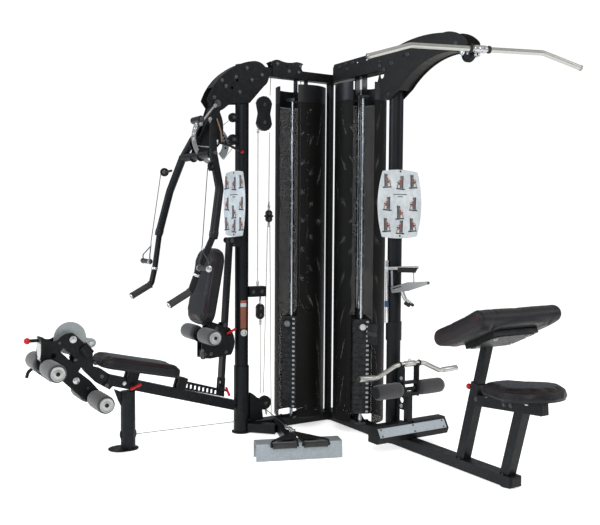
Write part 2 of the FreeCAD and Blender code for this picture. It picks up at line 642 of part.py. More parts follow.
def make_ankle_station():
    """The upright in front of the right column, its rollers, the foot rest and the curl bar."""
    y = -742
    upright = block("ankle_tube", V(-16, y - 9, BASE_TOP), V(16, y + 23, 300))
    web = extrude_profile("ankle_web", "YZ", (RIGHT_Y - COLUMN_RADIUS - 1, 90), [
        (RIGHT_Y - COLUMN_RADIUS - 1, 420), (-672, 420), (-700, 330), (-722, 300), (-722, 90)], -4, 4)
    oval = disc("web_oval", V(0, -683, 247), V(1, 0, 0), 17, 20)
    window = block("web_window", V(-10, -704, 122), V(10, -662, 196))
    head = block("ankle_head", V(-52, y - 14, 346), V(52, y + 14, 360))
    cradles = []
    for side in (-1, 1):
        x = side * 48
        arm = block(f"cradle_arm_{side + 1}", V(x - 5, y - 18, 278), V(x + 5, y + 18, 452))
        groove = disc(f"cradle_groove_{side + 1}", V(x, y, 452), V(1, 0, 0), 14.5, 20)
        bore = disc(f"cradle_bore_{side + 1}", V(x, y, 318), V(1, 0, 0), size("axle_bore") / 2, 20)
        cradles.append(cut(f"cradle_{side + 1}", arm, [groove, bore]))
    saddle = block("ankle_saddle", V(-52, y - 18, 282), V(52, y + 18, 300))
    frame = weld("ankle_weld", [upright, cut("web_cut", web, [oval, window]), head, saddle] + cradles)
    publish(frame, "ankle_frame")
    publish(roller_pair("ankle_rollers", V(0, y, 318), V(1, 0, 0), 58, 220, "Sizes.roller_diameter - 10"),
            "ankle_rollers")
    profile = [(-757, 146), (-763, 136), (-791, 90), (-780, 60), (-705, 60)]
    rest = extrude_profile("foot_box", "YZ", (-705, 146), profile, -235, 235)
    room = block("foot_box_room", V(-21, y - 20, 50), V(21, -690, 200))
    publish(cut("foot_box_cut", rest, [room]), "foot_rest")
    half = [V(326, y, 400), V(210, y, 396), V(100, y, 446), V(66, y, 450.8)]
    mirrored = [V(-p.x, p.y, p.z) for p in half]
    publish(solid("curl_rod", bent_bar(mirrored + half[::-1], 30, size("bar_diameter"))), "curl_bar")


def make_lat_seat():
    """The seat frame at the pulldown station, its seat and the preacher pad."""
    lean = V(0, -0.2487, 0.9686)
    post_foot = V(0, -1157, BASE_TOP)
    outer = beam("front_post", post_foot - lean * 14, post_foot + lean * 392, "post_tube", "post_tube")
    bore = beam("front_post_bore", post_foot + lean * 40, post_foot + lean * 460, 41, 41)
    rear = beam("rear_post", V(0, -1443, BASE_TOP - 14), V(0, -1528, 366), "post_tube", "post_tube")
    rail = beam("seat_tube", V(0, -1236, 357), V(0, -1648, 391), "rail_width", "rail_width")
    floor = block("seat_floor_room", V(-60, -1700, -60), V(60, -1000, BASE_TOP))
    bracket = beam("seat_bracket", V(0, -1420, 404.7), V(0, -1620, 421.2), 120, 14.2)
    welded = weld("seat_weld", [outer, rear, rail, bracket])
    publish(cut("seat_frame_cut", welded, [bore, floor]), "seat_frame")
    inner_top = post_foot + lean * 588
    inner = beam("inner_post", post_foot + lean * 220, inner_top, "inner_tube", "inner_tube")
    slope = V(0, -0.907, 0.421)
    normal = V(0, 0.421, 0.907)
    mount_at = V(0, -1369.5, 720.5) - normal * (size("preacher_thickness") / 2 + 12.4)
    mount = beam("pad_mount", mount_at - slope * 95, mount_at + slope * 95, 280, 24)
    publish(weld("preacher_weld", [inner, mount]), "preacher_post")
    radius = size("preacher_thickness") / 2
    run = 132
    steps = [(run, -radius), ((run + radius, 0), (run, radius)),
             (-run, radius), ((-run - radius, 0), (-run, -radius))]
    wire = Part.Wire([edge.toShape() for edge in profile_edges((-run, -radius), steps)])
    roll = Part.Face(wire).extrude(V(0, 0, 530))
    turn = FreeCAD.Rotation(slope, normal, slope.cross(normal), "XYZ")
    start = V(0, -1369.5, 720.5) - slope.cross(normal) * 265
    roll.Placement = FreeCAD.Placement(start, turn)
    publish(solid("preacher_roll", roll), "preacher_pad")
    front, rear, narrow, wide = -195, 195, 80, 168
    steps = [((front - 12, 0), (front, -narrow)), ((-60, -narrow - 40), (20, -wide)),
             ((rear, 0), (20, wide)), ((-60, narrow + 40), (front, narrow))]
    outline = Part.Wire([edge.toShape() for edge in profile_edges((front, narrow), steps)])
    cushion = Part.Face(outline).extrude(V(0, 0, 56))
    rims = [edge for edge in cushion.Edges if edge.BoundBox.ZLength < 1e-6]
    cushion = cushion.makeFillet(14, rims)
    cushion = place(cushion, V(0, -1538, 422), V(0, -1, 0.0825), V(0, 0.0825, 1))
    publish(solid("lat_seat_slab", cushion), "lat_seat")
    outward = V(0, lean.z, -lean.y)
    pin_at = post_foot + lean * 350 + outward * (size("post_tube") / 2 + 0.4)
    publish(pull_pin("preacher_pin", pin_at, outward, 20), "preacher_pin")


# ---------------------------------------------------------------- stacks and shrouds
def ring_piece(centre, radius, wall, start, end, low, high):
    """Part of an upright tube between two angles and two heights."""
    outer = Part.makeCylinder(radius, high - low, centre + UP * low, UP, math.degrees(end - start))
    inner = Part.makeCylinder(radius - wall, high - low + 2, centre + UP * (low - 1), UP)
    outer.rotate(centre, UP, math.degrees(start))
    return outer.cut(inner)


def make_stacks():
    """Both weight stacks with their guide rods, lifting carriages, pins and round shrouds."""
    plates, rods, bands = [], [], []
    radius, wall = size("shroud_radius"), size("shroud_wall")
    half_slot = math.radians(24)
    floor, pitch, thick = size("weight_floor"), size("weight_pitch"), size("weight_thickness")
    count = int(size("weight_count"))
    for label, (centre, angle) in STACKS.items():
        way = facing(angle)
        spread = size("rod_spread")
        rod_spots = [centre + way * spread, centre - way * spread]
        bore_radius = size("rod_diameter") / 2 + 1
        bores = [Part.makeCylinder(bore_radius, 700, spot + UP * 60, UP) for spot in rod_spots]
        stem_room = place(Part.makeBox(24, 80, 700, V(-12, -40, 0)), centre + UP * 60, way, UP)
        blank = Part.makeBox(size("weight_length"), size("weight_width"), thick,
                             V(-size("weight_length") / 2, -size("weight_width") / 2, 0))
        blank = blank.makeFillet(18, [e for e in blank.Edges if e.BoundBox.ZLength > thick / 2])
        for index in range(count):
            plate_shape = place(blank.copy(), centre + UP * (floor + pitch * index), way, UP)
            for bore in bores:
                plate_shape = plate_shape.cut(bore)
            if index < count - 2:
                plates.append(solid(f"{label}_weight_{index}", plate_shape.cut(stem_room)))
            elif index == count - 2:
                selected = plate_shape
            else:
                top = plate_shape
        pin_height = floor + pitch * (count - 2) + thick / 2
        pin_start = centre - way * 9 + UP.cross(way) * 15.8 + UP * pin_height
        pin_length = size("weight_length") / 2 + 24
        pin_hole = Part.makeCylinder(size("pin_diameter") / 2 + 0.3, pin_length, pin_start - way, way)
        stem_low = floor + 20
        stem = Part.makeBox(18, 72, floor + pitch * (count - 1) - stem_low, V(-9, -36, 0))
        stem = place(stem, centre + UP * stem_low, way, UP)
        neck_low = floor + pitch * (count - 1) + thick
        neck = Part.makeCone(26, 14, 55, centre + UP * neck_low, UP)
        carriage = top.fuse([selected, stem, neck]).cut(pin_hole)
        publish(solid(f"{label}_carriage", carriage), f"{label}_stack_carriage")
        shaft = Part.makeCylinder(size("pin_diameter") / 2, pin_length, pin_start, way)
        knob_start = pin_start + way * (pin_length - 1) - UP.cross(way) * 11.8
        knob = Part.makeCylinder(19, 12, knob_start, way)
        publish(solid(f"{label}_pin_shape", shaft.fuse(knob)), f"{label}_selector_pin")
        for index, spot in enumerate(rod_spots):
            rods.append(rod(f"{label}_rod_{index}", spot + UP * 70, spot + UP * 1880, "rod_diameter"))
        bar = Part.makeBox(260, 60, 12, V(-139, -30, 0))
        rods.append(solid(f"{label}_rod_foot", place(bar.copy(), centre + UP * (BASE_TOP + 1), way, UP)))
        arm_way = V(centre).normalize()
        rods.append(solid(f"{label}_rod_cap", place(bar, centre + UP * 1881, way, UP)))
        for side, name in ((-1, "outer"), (1, "inner")):
            hanger = Part.makeBox(10, 30, BEAM_AXIS - size("top_beam") / 2 - 1893.2, V(-5, -15, 0))
            at = centre + arm_way * (35 * side) + UP * 1893
            rods.append(solid(f"{label}_{name}_hanger", place(hanger, at, arm_way, UP)))
        start, end = angle + half_slot, angle - half_slot + 2 * math.pi
        low, high = size("shroud_bottom") + 10, size("band_bottom")
        shroud = ring_piece(centre, radius, wall, start, end, low, high)
        publish(solid(f"{label}_shroud_shape", shroud), f"{label}_shroud")
        bands.append(solid(f"{label}_top_band", ring_piece(
            centre, radius, wall, start, end, size("band_bottom") + 0.5, size("shroud_top"))))
        bands.append(solid(f"{label}_low_band", ring_piece(
            centre, radius, wall, start, end, size("shroud_bottom"), size("shroud_bottom") + 9.5)))
    publish(group("weight_group", plates), "weight_plates")
    publish(group("rod_group", rods), "guide_rods")
    publish(group("band_group", bands), "shroud_bands")


def make_charts():
    """The two barrel-shaped exercise charts, each on the front of a column."""
    thick = size("chart_thickness")
    x = LEFT_X - COLUMN_RADIUS - 0.5
    left_steps = [((-116, 1290), (-88, 1466)), ((15, 1474), (118, 1466)),
                  ((146, 1290), (118, 1116)), ((15, 1108), (-88, 1116))]
    left = extrude_profile("left_chart", "YZ", (-88, 1116), left_steps, x - thick, x)
    y = RIGHT_Y - COLUMN_RADIUS - 0.5
    right_steps = [((-147, 1290), (-117, 1462)), ((0, 1472), (117, 1462)),
                   ((147, 1290), (117, 1118)), ((0, 1108), (-117, 1118))]
    right = extrude_profile("right_chart", "XZ", (-117, 1118), right_steps, y - thick, y)
    publish(group("chart_group", [left, right]), "exercise_charts")


# ---------------------------------------------------------------- cables and accessories
def make_cables():
    """The machine cables that stay put, the pulley blocks on them and the low pulley."""
    thin = size("cable_diameter")
    runs = [
        ("front_run", V(-507, 0, 1700), V(-507, 0, 826)),
        ("rear_run", V(-432, 0, 1700), V(-436, 0, 1290)),
        ("upper_run", V(-430, 0, 1908), V(-426, 0, 2008)),
        ("float_left", V(-443, 0, 1170), V(-466, 0, 208)),
        ("float_right", V(-428, 0, 1170), V(-414, 0, 66)),
        ("hanging_run", V(-489, 0, 614), V(-486, 0, 208)),
        ("floor_run", V(LEG_X + 39, 0, 72), V(LEFT_X - SLEEVE_RADIUS - 1, 0, 63)),
    ]
    lines = [disc(name, (start + end) * 0.5, end - start, thin / 2, (end - start).Length)
             for name, start, end in runs]
    publish(group("cable_group", lines), "machine_cables")
    double = extrude_profile("double_block", "XZ", (-512, 1902), [
        ((-526, 1850), (-500, 1805)), ((-526, 1750), (-508, 1703)), (-430, 1703),
        ((-412, 1750), (-438, 1805)), ((-412, 1860), (-430, 1902))], -17, 17)
    floating = block("floating_block", V(-460, -14, 1180), V(-410, 14, 1276))
    hanging = extrude_profile("hanging_block", "XZ", (-505, 738), [
        ((-520, 700), (-508, 640)), ((-489, 616), (-470, 640)), ((-461, 700), (-475, 738))], -15, 15)
    clip = block("clip_block", V(-496, -4, 739), V(-484, 4, 766))
    publish(group("pulley_block_group", [double, floating, hanging, clip]), "pulley_blocks")
    wheel = disc("low_wheel", V(-460, 0, 150), V(0, 1, 0), size("pulley_radius") - 4, size("pulley_width"))
    publish(wheel, "low_pulley")


def make_accessories():
    """The row handle on its foot plate, and the handles that hang on the right column."""
    plate_centre = ROW_START + ROW_WAY * (ROW_LENGTH + 46) - UP * BASE_AXIS
    apex = plate_centre - ROW_WAY * 120 + UP * 98
    handle = Part.makeCylinder(11, 22, apex - UP * 6, UP)
    for side in (-1, 1):
        ends = []
        for reach in (14, 146):
            low = plate_centre + ROW_WAY * 63 + ROW_SIDE * (side * reach) + UP * 78
            high = plate_centre + ROW_WAY * 54 + ROW_SIDE * (side * reach) + UP * 97
            ends.append(low)
            handle = handle.fuse(bent_bar([apex, high, low], 5, 8))
        grip = Part.makeCylinder(14, (ends[1] - ends[0]).Length, ends[0], ends[1] - ends[0])
        handle = handle.fuse(grip)
    publish(solid("row_grip", handle), "row_handle")
    front = RIGHT_Y - COLUMN_RADIUS
    across = V(1, -0.18, 0).normalize()
    hook = block("hook_plate", V(-10, front - 30, 928), V(10, front - 0.5, 940))
    upper = V(-98, front - 18, 952)
    lower = V(-70, front - 22, 842)
    bars = [
        solid("upper_bar", Part.makeCylinder(9, 190, upper, across)),
        solid("lower_bar", Part.makeCylinder(12, 215, lower, across + V(0, 0, 0.12))),
        solid("near_link", Part.makeCylinder(3, 84, V(-64, front - 24, 857), V(-0.05, 0, 1))),
        solid("far_link", Part.makeCylinder(3, 74, V(66, front - 47, 868), UP)),
    ]
    chrome = disc("storage_rod", V(-49, RIGHT_Y, 770), UP, 9.5, 220)
    strap = extrude_profile("ankle_strap_pad", "YZ", (-520, 520), [
        ((-546, 580), (-520, 640)), (-470, 640), ((-448, 580), (-470, 520))], -62, -54)
    publish(group("accessory_group", [hook, chrome, strap] + bars), "stored_accessories")


def check_and_write():
    """Stop on a failed object, then write each sub-part to its own file."""
    doc.recompute()
    for obj in doc.Objects:
        if "Invalid" in obj.State or "Error" in obj.State:
            raise RuntimeError(f"{obj.Name} failed: {obj.State}")
    os.makedirs("parts", exist_ok=True)
    for obj in PARTS:
        shape = obj.Shape
        if shape.isNull() or not shape.isValid() or not shape.Solids:
            raise RuntimeError(f"{obj.Label} has no valid solid")
        shape.exportStep(f"parts/{obj.Label}.step")
    print(f"{len(PARTS)} sub-parts written")


for maker in (make_base, make_row_plate, make_columns, make_top_bracket, make_press_head,
              make_lat_head, make_bench_frame, make_leg_head, make_column_brackets, make_leg_developer,
              make_back_rest, make_bench_seat, make_press, make_pulldown, make_ankle_station, make_lat_seat,
              make_stacks, make_charts, make_cables, make_accessories):
    maker()
check_and_write()
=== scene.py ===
"""Corner home gym: finishes, cushions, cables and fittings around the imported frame.

Lengths are metres. The origin is on the floor at the inside corner. The press station lies along
-X, the pulldown station along -Y, and +Z is up.
"""
import json
import math
import bpy
import bmesh
from mathutils import Matrix, Vector
from mathutils.bvhtree import BVHTree


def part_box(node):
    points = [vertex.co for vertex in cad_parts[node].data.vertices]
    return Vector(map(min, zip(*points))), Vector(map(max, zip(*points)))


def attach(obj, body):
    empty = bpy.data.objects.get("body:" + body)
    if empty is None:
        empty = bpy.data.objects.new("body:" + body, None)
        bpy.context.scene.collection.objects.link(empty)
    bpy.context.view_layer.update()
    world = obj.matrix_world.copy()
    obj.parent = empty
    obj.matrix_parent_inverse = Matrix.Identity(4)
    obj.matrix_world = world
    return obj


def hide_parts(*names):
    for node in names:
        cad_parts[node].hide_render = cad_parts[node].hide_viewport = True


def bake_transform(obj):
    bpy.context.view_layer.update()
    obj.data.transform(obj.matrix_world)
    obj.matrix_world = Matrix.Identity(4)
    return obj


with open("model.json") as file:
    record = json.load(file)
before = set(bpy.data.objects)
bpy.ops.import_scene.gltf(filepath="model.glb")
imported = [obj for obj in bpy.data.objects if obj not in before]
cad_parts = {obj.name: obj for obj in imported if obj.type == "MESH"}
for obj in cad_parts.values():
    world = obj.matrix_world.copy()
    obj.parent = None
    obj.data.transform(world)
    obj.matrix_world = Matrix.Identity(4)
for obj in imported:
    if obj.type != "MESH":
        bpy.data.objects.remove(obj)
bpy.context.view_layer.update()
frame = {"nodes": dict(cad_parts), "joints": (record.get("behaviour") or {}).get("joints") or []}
NODES = frame["nodes"]
JOINTS = {joint["name"]: joint for joint in frame["joints"]}
UP = Vector((0, 0, 1))
X_WAY = Vector((1, 0, 0))
Y_WAY = Vector((0, 1, 0))


def pivot(joint):
    """Where a hinge's axis sits."""
    return Vector(JOINTS[joint]["pos_m"])


def travel(joint):
    """The direction a joint moves or turns about."""
    return Vector(JOINTS[joint]["axis"]).normalized()


def middle(node):
    """The centre of a node's box."""
    low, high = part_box(node)
    return (low + high) / 2


# ---------------------------------------------------------------- finishes
class Finish:
    """A procedural material, wired one node at a time."""

    def __init__(self, name, colour=(0.02, 0.02, 0.02), metal=0.0, rough=0.5, **sockets):
        self.material = bpy.data.materials.new(name)
        self.material.use_nodes = True
        self.tree = self.material.node_tree
        self.shader = self.tree.nodes["Principled BSDF"]
        self.shader.inputs["Base Color"].default_value = (*colour, 1)
        self.shader.inputs["Metallic"].default_value = metal
        self.shader.inputs["Roughness"].default_value = rough
        for socket, value in sockets.items():
            self.shader.inputs[socket.replace("_", " ")].default_value = value
        self.place = self.add("TexCoord").outputs["Object"]

    def add(self, kind, inputs=None, **settings):
        """A node with its settings, and its inputs set or linked by name."""
        node = self.tree.nodes.new("ShaderNode" + kind)
        for key, value in settings.items():
            setattr(node, key, value)
        for key, value in (inputs or {}).items():
            self.feed(node.inputs[key], value)
        return node

    def feed(self, socket, value):
        """Link a socket to another node's output, or set its value."""
        if isinstance(value, bpy.types.NodeSocket):
            self.tree.links.new(value, socket)
        else:
            socket.default_value = value

    def shader_input(self, name, value):
        self.feed(self.shader.inputs[name], value)

    def stretched(self, x, y, z):
        """Object coordinates scaled differently along each axis."""
        return self.add("Mapping", {"Vector": self.place, "Scale": (x, y, z)}).outputs["Vector"]

    def noise(self, scale, detail=3.0, where=None):
        inputs = {"Vector": where or self.place, "Scale": scale, "Detail": detail}
        return self.add("TexNoise", inputs).outputs["Fac"]

    def cells(self, scale, where=None):
        inputs = {"Vector": where or self.place, "Scale": scale}
        return self.add("TexVoronoi", inputs).outputs["Distance"]

    def remap(self, value, low, high, bottom, top):
        inputs = {"Value": value, "From Min": low, "From Max": high, "To Min": bottom, "To Max": top}
        return self.add("MapRange", inputs).outputs["Result"]

    def sum(self, operation, first, second=0.0):
        node = self.add("Math", operation=operation)
        self.feed(node.inputs[0], first)
        self.feed(node.inputs[1], second)
        return node.outputs[0]

    def blend(self, factor, first, second):
        """A mix of two colours, each a triple or a socket."""
        node = self.add("MixRGB", {"Fac": factor})
        for socket, colour in ((node.inputs["Color1"], first), (node.inputs["Color2"], second)):
            self.feed(socket, colour if isinstance(colour, bpy.types.NodeSocket) else (*colour, 1))
        return node.outputs["Color"]

    def edges(self, low=0.52, high=0.6):
        """0 on flat surfaces, up to 1 on sharp outside edges, broken up by noise; the finishes lighten edges
        by it, as wear and as a painted highlight.
        """
        sharp = self.remap(self.add("NewGeometry").outputs["Pointiness"], low, high, 0, 1)
        return self.sum("MULTIPLY", sharp, self.remap(self.noise(55), 0.35, 0.7, 0, 1))

    def bump(self, *layers):
        """Bump layers, each (height, strength, distance)."""
        normal = None
        for height, strength, distance in layers:
            node = self.add("Bump", {"Height": height, "Strength": strength, "Distance": distance})
            if normal:
                self.feed(node.inputs["Normal"], normal)
            normal = node.outputs["Normal"]
        self.shader_input("Normal", normal)


def powder_coat(name, dark, light, rough=0.4):
    """Satin powder coat: a fine orange peel, faint cloudiness, and edges lightened as rubbed wear and a
    painted highlight.
    """
    finish = Finish(name, dark, Specular_IOR_Level=0.16)
    body = finish.blend(finish.remap(finish.noise(9), 0.3, 0.7, 0, 1), dark, light)
    # edges lightened towards pale grey: partly rubbed wear, partly a painted highlight
    wear_and_highlight = finish.sum("MULTIPLY", finish.edges(), 0.25)
    finish.shader_input("Base Color", finish.blend(wear_and_highlight, body, (0.024, 0.026, 0.029)))
    finish.shader_input("Roughness", finish.remap(finish.noise(45), 0.3, 0.7, rough - 0.06, rough + 0.07))
    finish.bump((finish.noise(1100, 2), 0.22, 0.0003), (finish.noise(160, 2), 0.06, 0.0006))
    return finish.material


def bright_metal(name, colour, rough, scratch=0.04, grain=(1, 1, 1)):
    """Plated or polished metal with faint smears and hairline scratches."""
    finish = Finish(name, colour, metal=1.0)
    smears = finish.remap(finish.noise(24), 0.3, 0.75, rough, rough + 0.08)
    lines = finish.noise(420, 4, finish.stretched(*grain))
    finish.shader_input("Roughness", smears)
    shade = tuple(value * 0.82 for value in colour)
    finish.shader_input("Base Color", finish.blend(finish.remap(lines, 0.35, 0.65, 0, 1), colour, shade))
    finish.bump((lines, scratch, 0.0002))
    return finish.material


def galvanised(name, dark, light):
    """Zinc coat with soft spangles and dull patches."""
    finish = Finish(name, light, metal=0.45, rough=0.45)
    spangle = finish.add("TexVoronoi", {"Vector": finish.place, "Scale": 210.0}).outputs["Color"]
    grey = finish.add("RGBToBW", {"Color": spangle}).outputs["Val"]
    mixed = finish.sum("ADD", finish.sum("MULTIPLY", grey, 0.5),
                       finish.sum("MULTIPLY", finish.noise(30), 0.5))
    finish.shader_input("Base Color", finish.blend(finish.remap(mixed, 0.3, 0.7, 0, 1), dark, light))
    finish.shader_input("Roughness", finish.remap(mixed, 0.3, 0.7, 0.36, 0.55))
    finish.bump((finish.noise(700), 0.1, 0.0003))
    return finish.material


ROD_BARS = (0.0705, 1.8798)


def rod_finish():
    """Chromed rods between the black bars that hold their ends."""
    finish = Finish("guide_rod", (0.66, 0.67, 0.68), Specular_IOR_Level=0.4)
    height = finish.add("SeparateXYZ", {"Vector": finish.place}).outputs["Z"]
    above = finish.sum("GREATER_THAN", height, ROD_BARS[0])
    below = finish.sum("LESS_THAN", height, ROD_BARS[1])
    shaft = finish.sum("MULTIPLY", above, below)
    lines = finish.noise(420, 4, finish.stretched(1, 1, 0.2))
    steel = finish.blend(finish.remap(lines, 0.35, 0.65, 0, 1), (0.62, 0.66, 0.70), (0.48, 0.51, 0.55))
    finish.shader_input("Base Color", finish.blend(shaft, (0.008, 0.009, 0.011), steel))
    finish.shader_input("Metallic", shaft)
    finish.shader_input("Roughness", finish.remap(finish.noise(40), 0.3, 0.7, 0.2, 0.3))
    finish.bump((lines, 0.05, 0.0002))
    return finish.material


def cast_iron():
    """Painted cast plate with a pebbled skin, and edges lightened as polished wear and a painted highlight.
    """
    finish = Finish("weight_iron", (0.010, 0.011, 0.013), Specular_IOR_Level=0.18)
    body = finish.blend(finish.remap(finish.noise(14), 0.3, 0.7, 0, 1), (0.0068, 0.0072, 0.0080),
                        (0.0100, 0.0106, 0.0118))
    # edges lightened towards grey: partly polished wear, partly a painted highlight
    finish.shader_input("Base Color",
                        finish.blend(finish.sum("MULTIPLY", finish.edges(), 0.4), body, (0.06, 0.062, 0.066)))
    finish.shader_input("Roughness", finish.remap(finish.noise(90), 0.3, 0.7, 0.4, 0.6))
    finish.bump((finish.cells(520), 0.3, 0.0004), (finish.noise(1500), 0.15, 0.0002))
    return finish.material


def perforated(name, centre, radius):
    """Black sheet steel rolled round an upright axis and punched with rows of small holes."""
    pitch, row_pitch, hole = 0.0060, 0.0052, 0.00066
    finish = Finish(name, (0.012, 0.012, 0.012), rough=0.5, Specular_IOR_Level=0.1)
    axes = finish.add("SeparateXYZ", {"Vector": finish.place}).outputs
    across = finish.sum("SUBTRACT", axes["X"], centre.x)
    deep = finish.sum("SUBTRACT", axes["Y"], centre.y)
    turn = finish.sum("MULTIPLY", finish.sum("ARCTAN2", deep, across), radius)
    row = finish.sum("DIVIDE", axes["Z"], row_pitch)
    shift = finish.sum("MULTIPLY", finish.sum("MODULO", finish.sum("FLOOR", row), 2.0), 0.5)
    column = finish.sum("ADD", finish.sum("DIVIDE", turn, pitch), finish.sum("ADD", shift, 400.0))
    u = finish.sum("MULTIPLY", finish.sum("SUBTRACT", finish.sum("FRACT", column), 0.5), pitch)
    v = finish.sum("MULTIPLY", finish.sum("SUBTRACT", finish.sum("FRACT", row), 0.5), row_pitch)
    reach = finish.sum("ADD", finish.sum("MULTIPLY", u, u), finish.sum("MULTIPLY", v, v))
    punched = finish.sum("GREATER_THAN", finish.sum("SQRT", reach), hole)
    out = finish.sum("ADD", finish.sum("MULTIPLY", across, across), finish.sum("MULTIPLY", deep, deep))
    solid = finish.sum("MULTIPLY", punched,
                       finish.sum("GREATER_THAN", finish.sum("SQRT", out), radius - 0.0012))
    rim = finish.remap(finish.sum("SQRT", reach), hole, hole * 2, 0, 1)
    cloud = finish.remap(finish.noise(5), 0.3, 0.7, 0, 1)
    finish.shader_input("Base Color", finish.blend(cloud, (0.0030, 0.0030, 0.0029), (0.0052, 0.0050, 0.0047)))
    finish.shader_input("Roughness", finish.remap(finish.noise(70), 0.3, 0.7, 0.42, 0.58))
    finish.shader_input("Alpha", solid)
    finish.bump((rim, 0.35, 0.0005))
    return finish.material


def leather():
    """Grained upholstery vinyl: pebbles, fine pores, creases and slightly polished wear."""
    finish = Finish("leather", (0.016, 0.016, 0.019), Specular_IOR_Level=0.20, Sheen_Weight=0.03,
                    Sheen_Roughness=0.5)
    patches = finish.remap(finish.noise(16), 0.3, 0.7, 0, 1)
    grain = finish.cells(430)
    creases = finish.noise(70, 5, finish.stretched(1, 1.6, 1))
    tone = finish.blend(patches, (0.0055, 0.0058, 0.0078), (0.0100, 0.0103, 0.0128))
    pores = finish.remap(grain, 0.0, 0.5, 0.0, 0.5)
    finish.shader_input("Base Color", finish.blend(pores, tone, (0.007, 0.007, 0.008)))
    finish.shader_input("Roughness", finish.remap(creases, 0.3, 0.7, 0.36, 0.52))
    finish.bump((creases, 0.10, 0.0012), (grain, 0.45, 0.0005), (finish.noise(1700, 2), 0.15, 0.0002))
    return finish.material


def foam():
    """Closed-cell foam: matt, finely pitted and a little dusty."""
    finish = Finish("foam", (0.02, 0.02, 0.022), Sheen_Weight=0.25, Sheen_Roughness=0.6)
    pits = finish.cells(900)
    cloud = finish.remap(finish.noise(28), 0.3, 0.7, 0, 1)
    finish.shader_input("Base Color", finish.blend(cloud, (0.0075, 0.0080, 0.0100), (0.0140, 0.0145, 0.0175)))
    finish.shader_input("Roughness", finish.remap(pits, 0, 0.6, 0.62, 0.82))
    finish.bump((pits, 0.4, 0.0004), (finish.noise(120), 0.2, 0.0008))
    return finish.material


def moulded(name, dark, light, rough, texture=0.25, scale=1300):
    """Moulded plastic or rubber with a spark-eroded texture."""
    finish = Finish(name, dark, Specular_IOR_Level=0.20)
    finish.shader_input("Base Color",
                        finish.blend(finish.remap(finish.noise(20), 0.3, 0.7, 0, 1), dark, light))
    finish.shader_input("Roughness", finish.remap(finish.noise(80), 0.3, 0.7, rough - 0.06, rough + 0.06))
    finish.bump((finish.noise(scale, 2), texture, 0.0003))
    return finish.material


def ribbed_rubber():
    """Grip rubber with fine knurling."""
    finish = Finish("grip_rubber", (0.012, 0.012, 0.013))
    knurl = finish.cells(620)
    cloud = finish.remap(finish.noise(40), 0.3, 0.7, 0, 1)
    finish.shader_input("Base Color", finish.blend(cloud, (0.008, 0.008, 0.009), (0.022, 0.022, 0.023)))
    finish.shader_input("Roughness", finish.remap(knurl, 0.0, 0.6, 0.5, 0.72))
    finish.bump((knurl, 0.7, 0.0008))
    return finish.material


def stranded(name, dark, light):
    """Coated steel cable whose lay shows through the coat."""
    finish = Finish(name, light, rough=0.38)
    lay = finish.noise(900, 2, finish.stretched(1, 1, 0.35))
    finish.shader_input("Base Color", finish.blend(finish.remap(lay, 0.35, 0.65, 0, 1), dark, light))
    finish.bump((lay, 0.4, 0.0004))
    return finish.material


def marbled_sheet():
    """The charts' pale laminate with soft grey-blue marbling."""
    finish = Finish("chart_sheet", (0.6, 0.66, 0.68), rough=0.32)
    warp = finish.noise(16, 6)
    veins = finish.noise(46, 5)
    mixed = finish.sum("ADD", finish.sum("MULTIPLY", warp, 0.6), finish.sum("MULTIPLY", veins, 0.4))
    finish.shader_input("Base Color",
                        finish.blend(finish.remap(mixed, 0.38, 0.62, 0, 1), (0.40, 0.435, 0.455),
                                     (0.52, 0.555, 0.57)))
    finish.shader_input("Roughness", finish.remap(veins, 0.3, 0.7, 0.26, 0.4))
    finish.bump((finish.noise(900), 0.05, 0.0002))
    return finish.material


BLACK = powder_coat("black_frame", (0.0032, 0.0037, 0.0050), (0.0050, 0.0057, 0.0074))
WARM_BLACK = powder_coat("warm_black", (0.0070, 0.0066, 0.0064), (0.0100, 0.0094, 0.0090), 0.46)
SHADE_BLACK = powder_coat("dark_black", (0.0022, 0.0024, 0.0029), (0.0036, 0.0039, 0.0046), 0.44)
SILVER_COAT = galvanised("silver_coat", (0.22, 0.245, 0.25), (0.30, 0.325, 0.33))
TREAD = galvanised("tread_plate", (0.25, 0.285, 0.31), (0.33, 0.37, 0.40))
CHROME = bright_metal("chrome", (0.66, 0.67, 0.68), 0.14)
BAR_STEEL = bright_metal("bar_steel", (0.50, 0.50, 0.48), 0.30, 0.06, (1, 1, 8))
LINK_STEEL = bright_metal("link_steel", (0.32, 0.32, 0.30), 0.36, 0.10, (1, 1, 8))
SATIN_STEEL = bright_metal("brushed", (0.52, 0.53, 0.53), 0.28, 0.10, (1, 1, 14))
DISC_STEEL = bright_metal("disc_steel", (0.42, 0.43, 0.42), 0.38, 0.14, (1, 0.2, 1))
BLACK_BOLT = bright_metal("black_bolt", (0.085, 0.086, 0.09), 0.34)
IRON = cast_iron()
LEATHER = leather()
PIPING = moulded("piping", (0.030, 0.0045, 0.0055), (0.050, 0.0065, 0.0080), 0.5, 0.4)
FOAM = foam()
RUBBER = moulded("rubber", (0.009, 0.009, 0.010), (0.020, 0.020, 0.021), 0.62, 0.4, 800)
GRIP = ribbed_rubber()
PLASTIC = moulded("black_plastic", (0.0045, 0.0048, 0.0058), (0.0090, 0.0094, 0.0106), 0.38)
RED = moulded("red_plastic", (0.36, 0.006, 0.012), (0.50, 0.012, 0.020), 0.26, 0.08)
CABLE = stranded("cable_coat", (0.24, 0.25, 0.25), (0.46, 0.47, 0.46))
COPPER_CABLE = stranded("copper_cable", (0.15, 0.085, 0.055), (0.28, 0.17, 0.12))
DARK_CABLE = stranded("dark_cable", (0.010, 0.010, 0.011), (0.030, 0.030, 0.032))
SHEET = marbled_sheet()
MARK = moulded("pale_mark", (0.36, 0.40, 0.42), (0.44, 0.48, 0.50), 0.5, 0.1)
FIGURE_RED = moulded("figure_red", (0.22, 0.060, 0.040), (0.28, 0.085, 0.055), 0.5, 0.1)
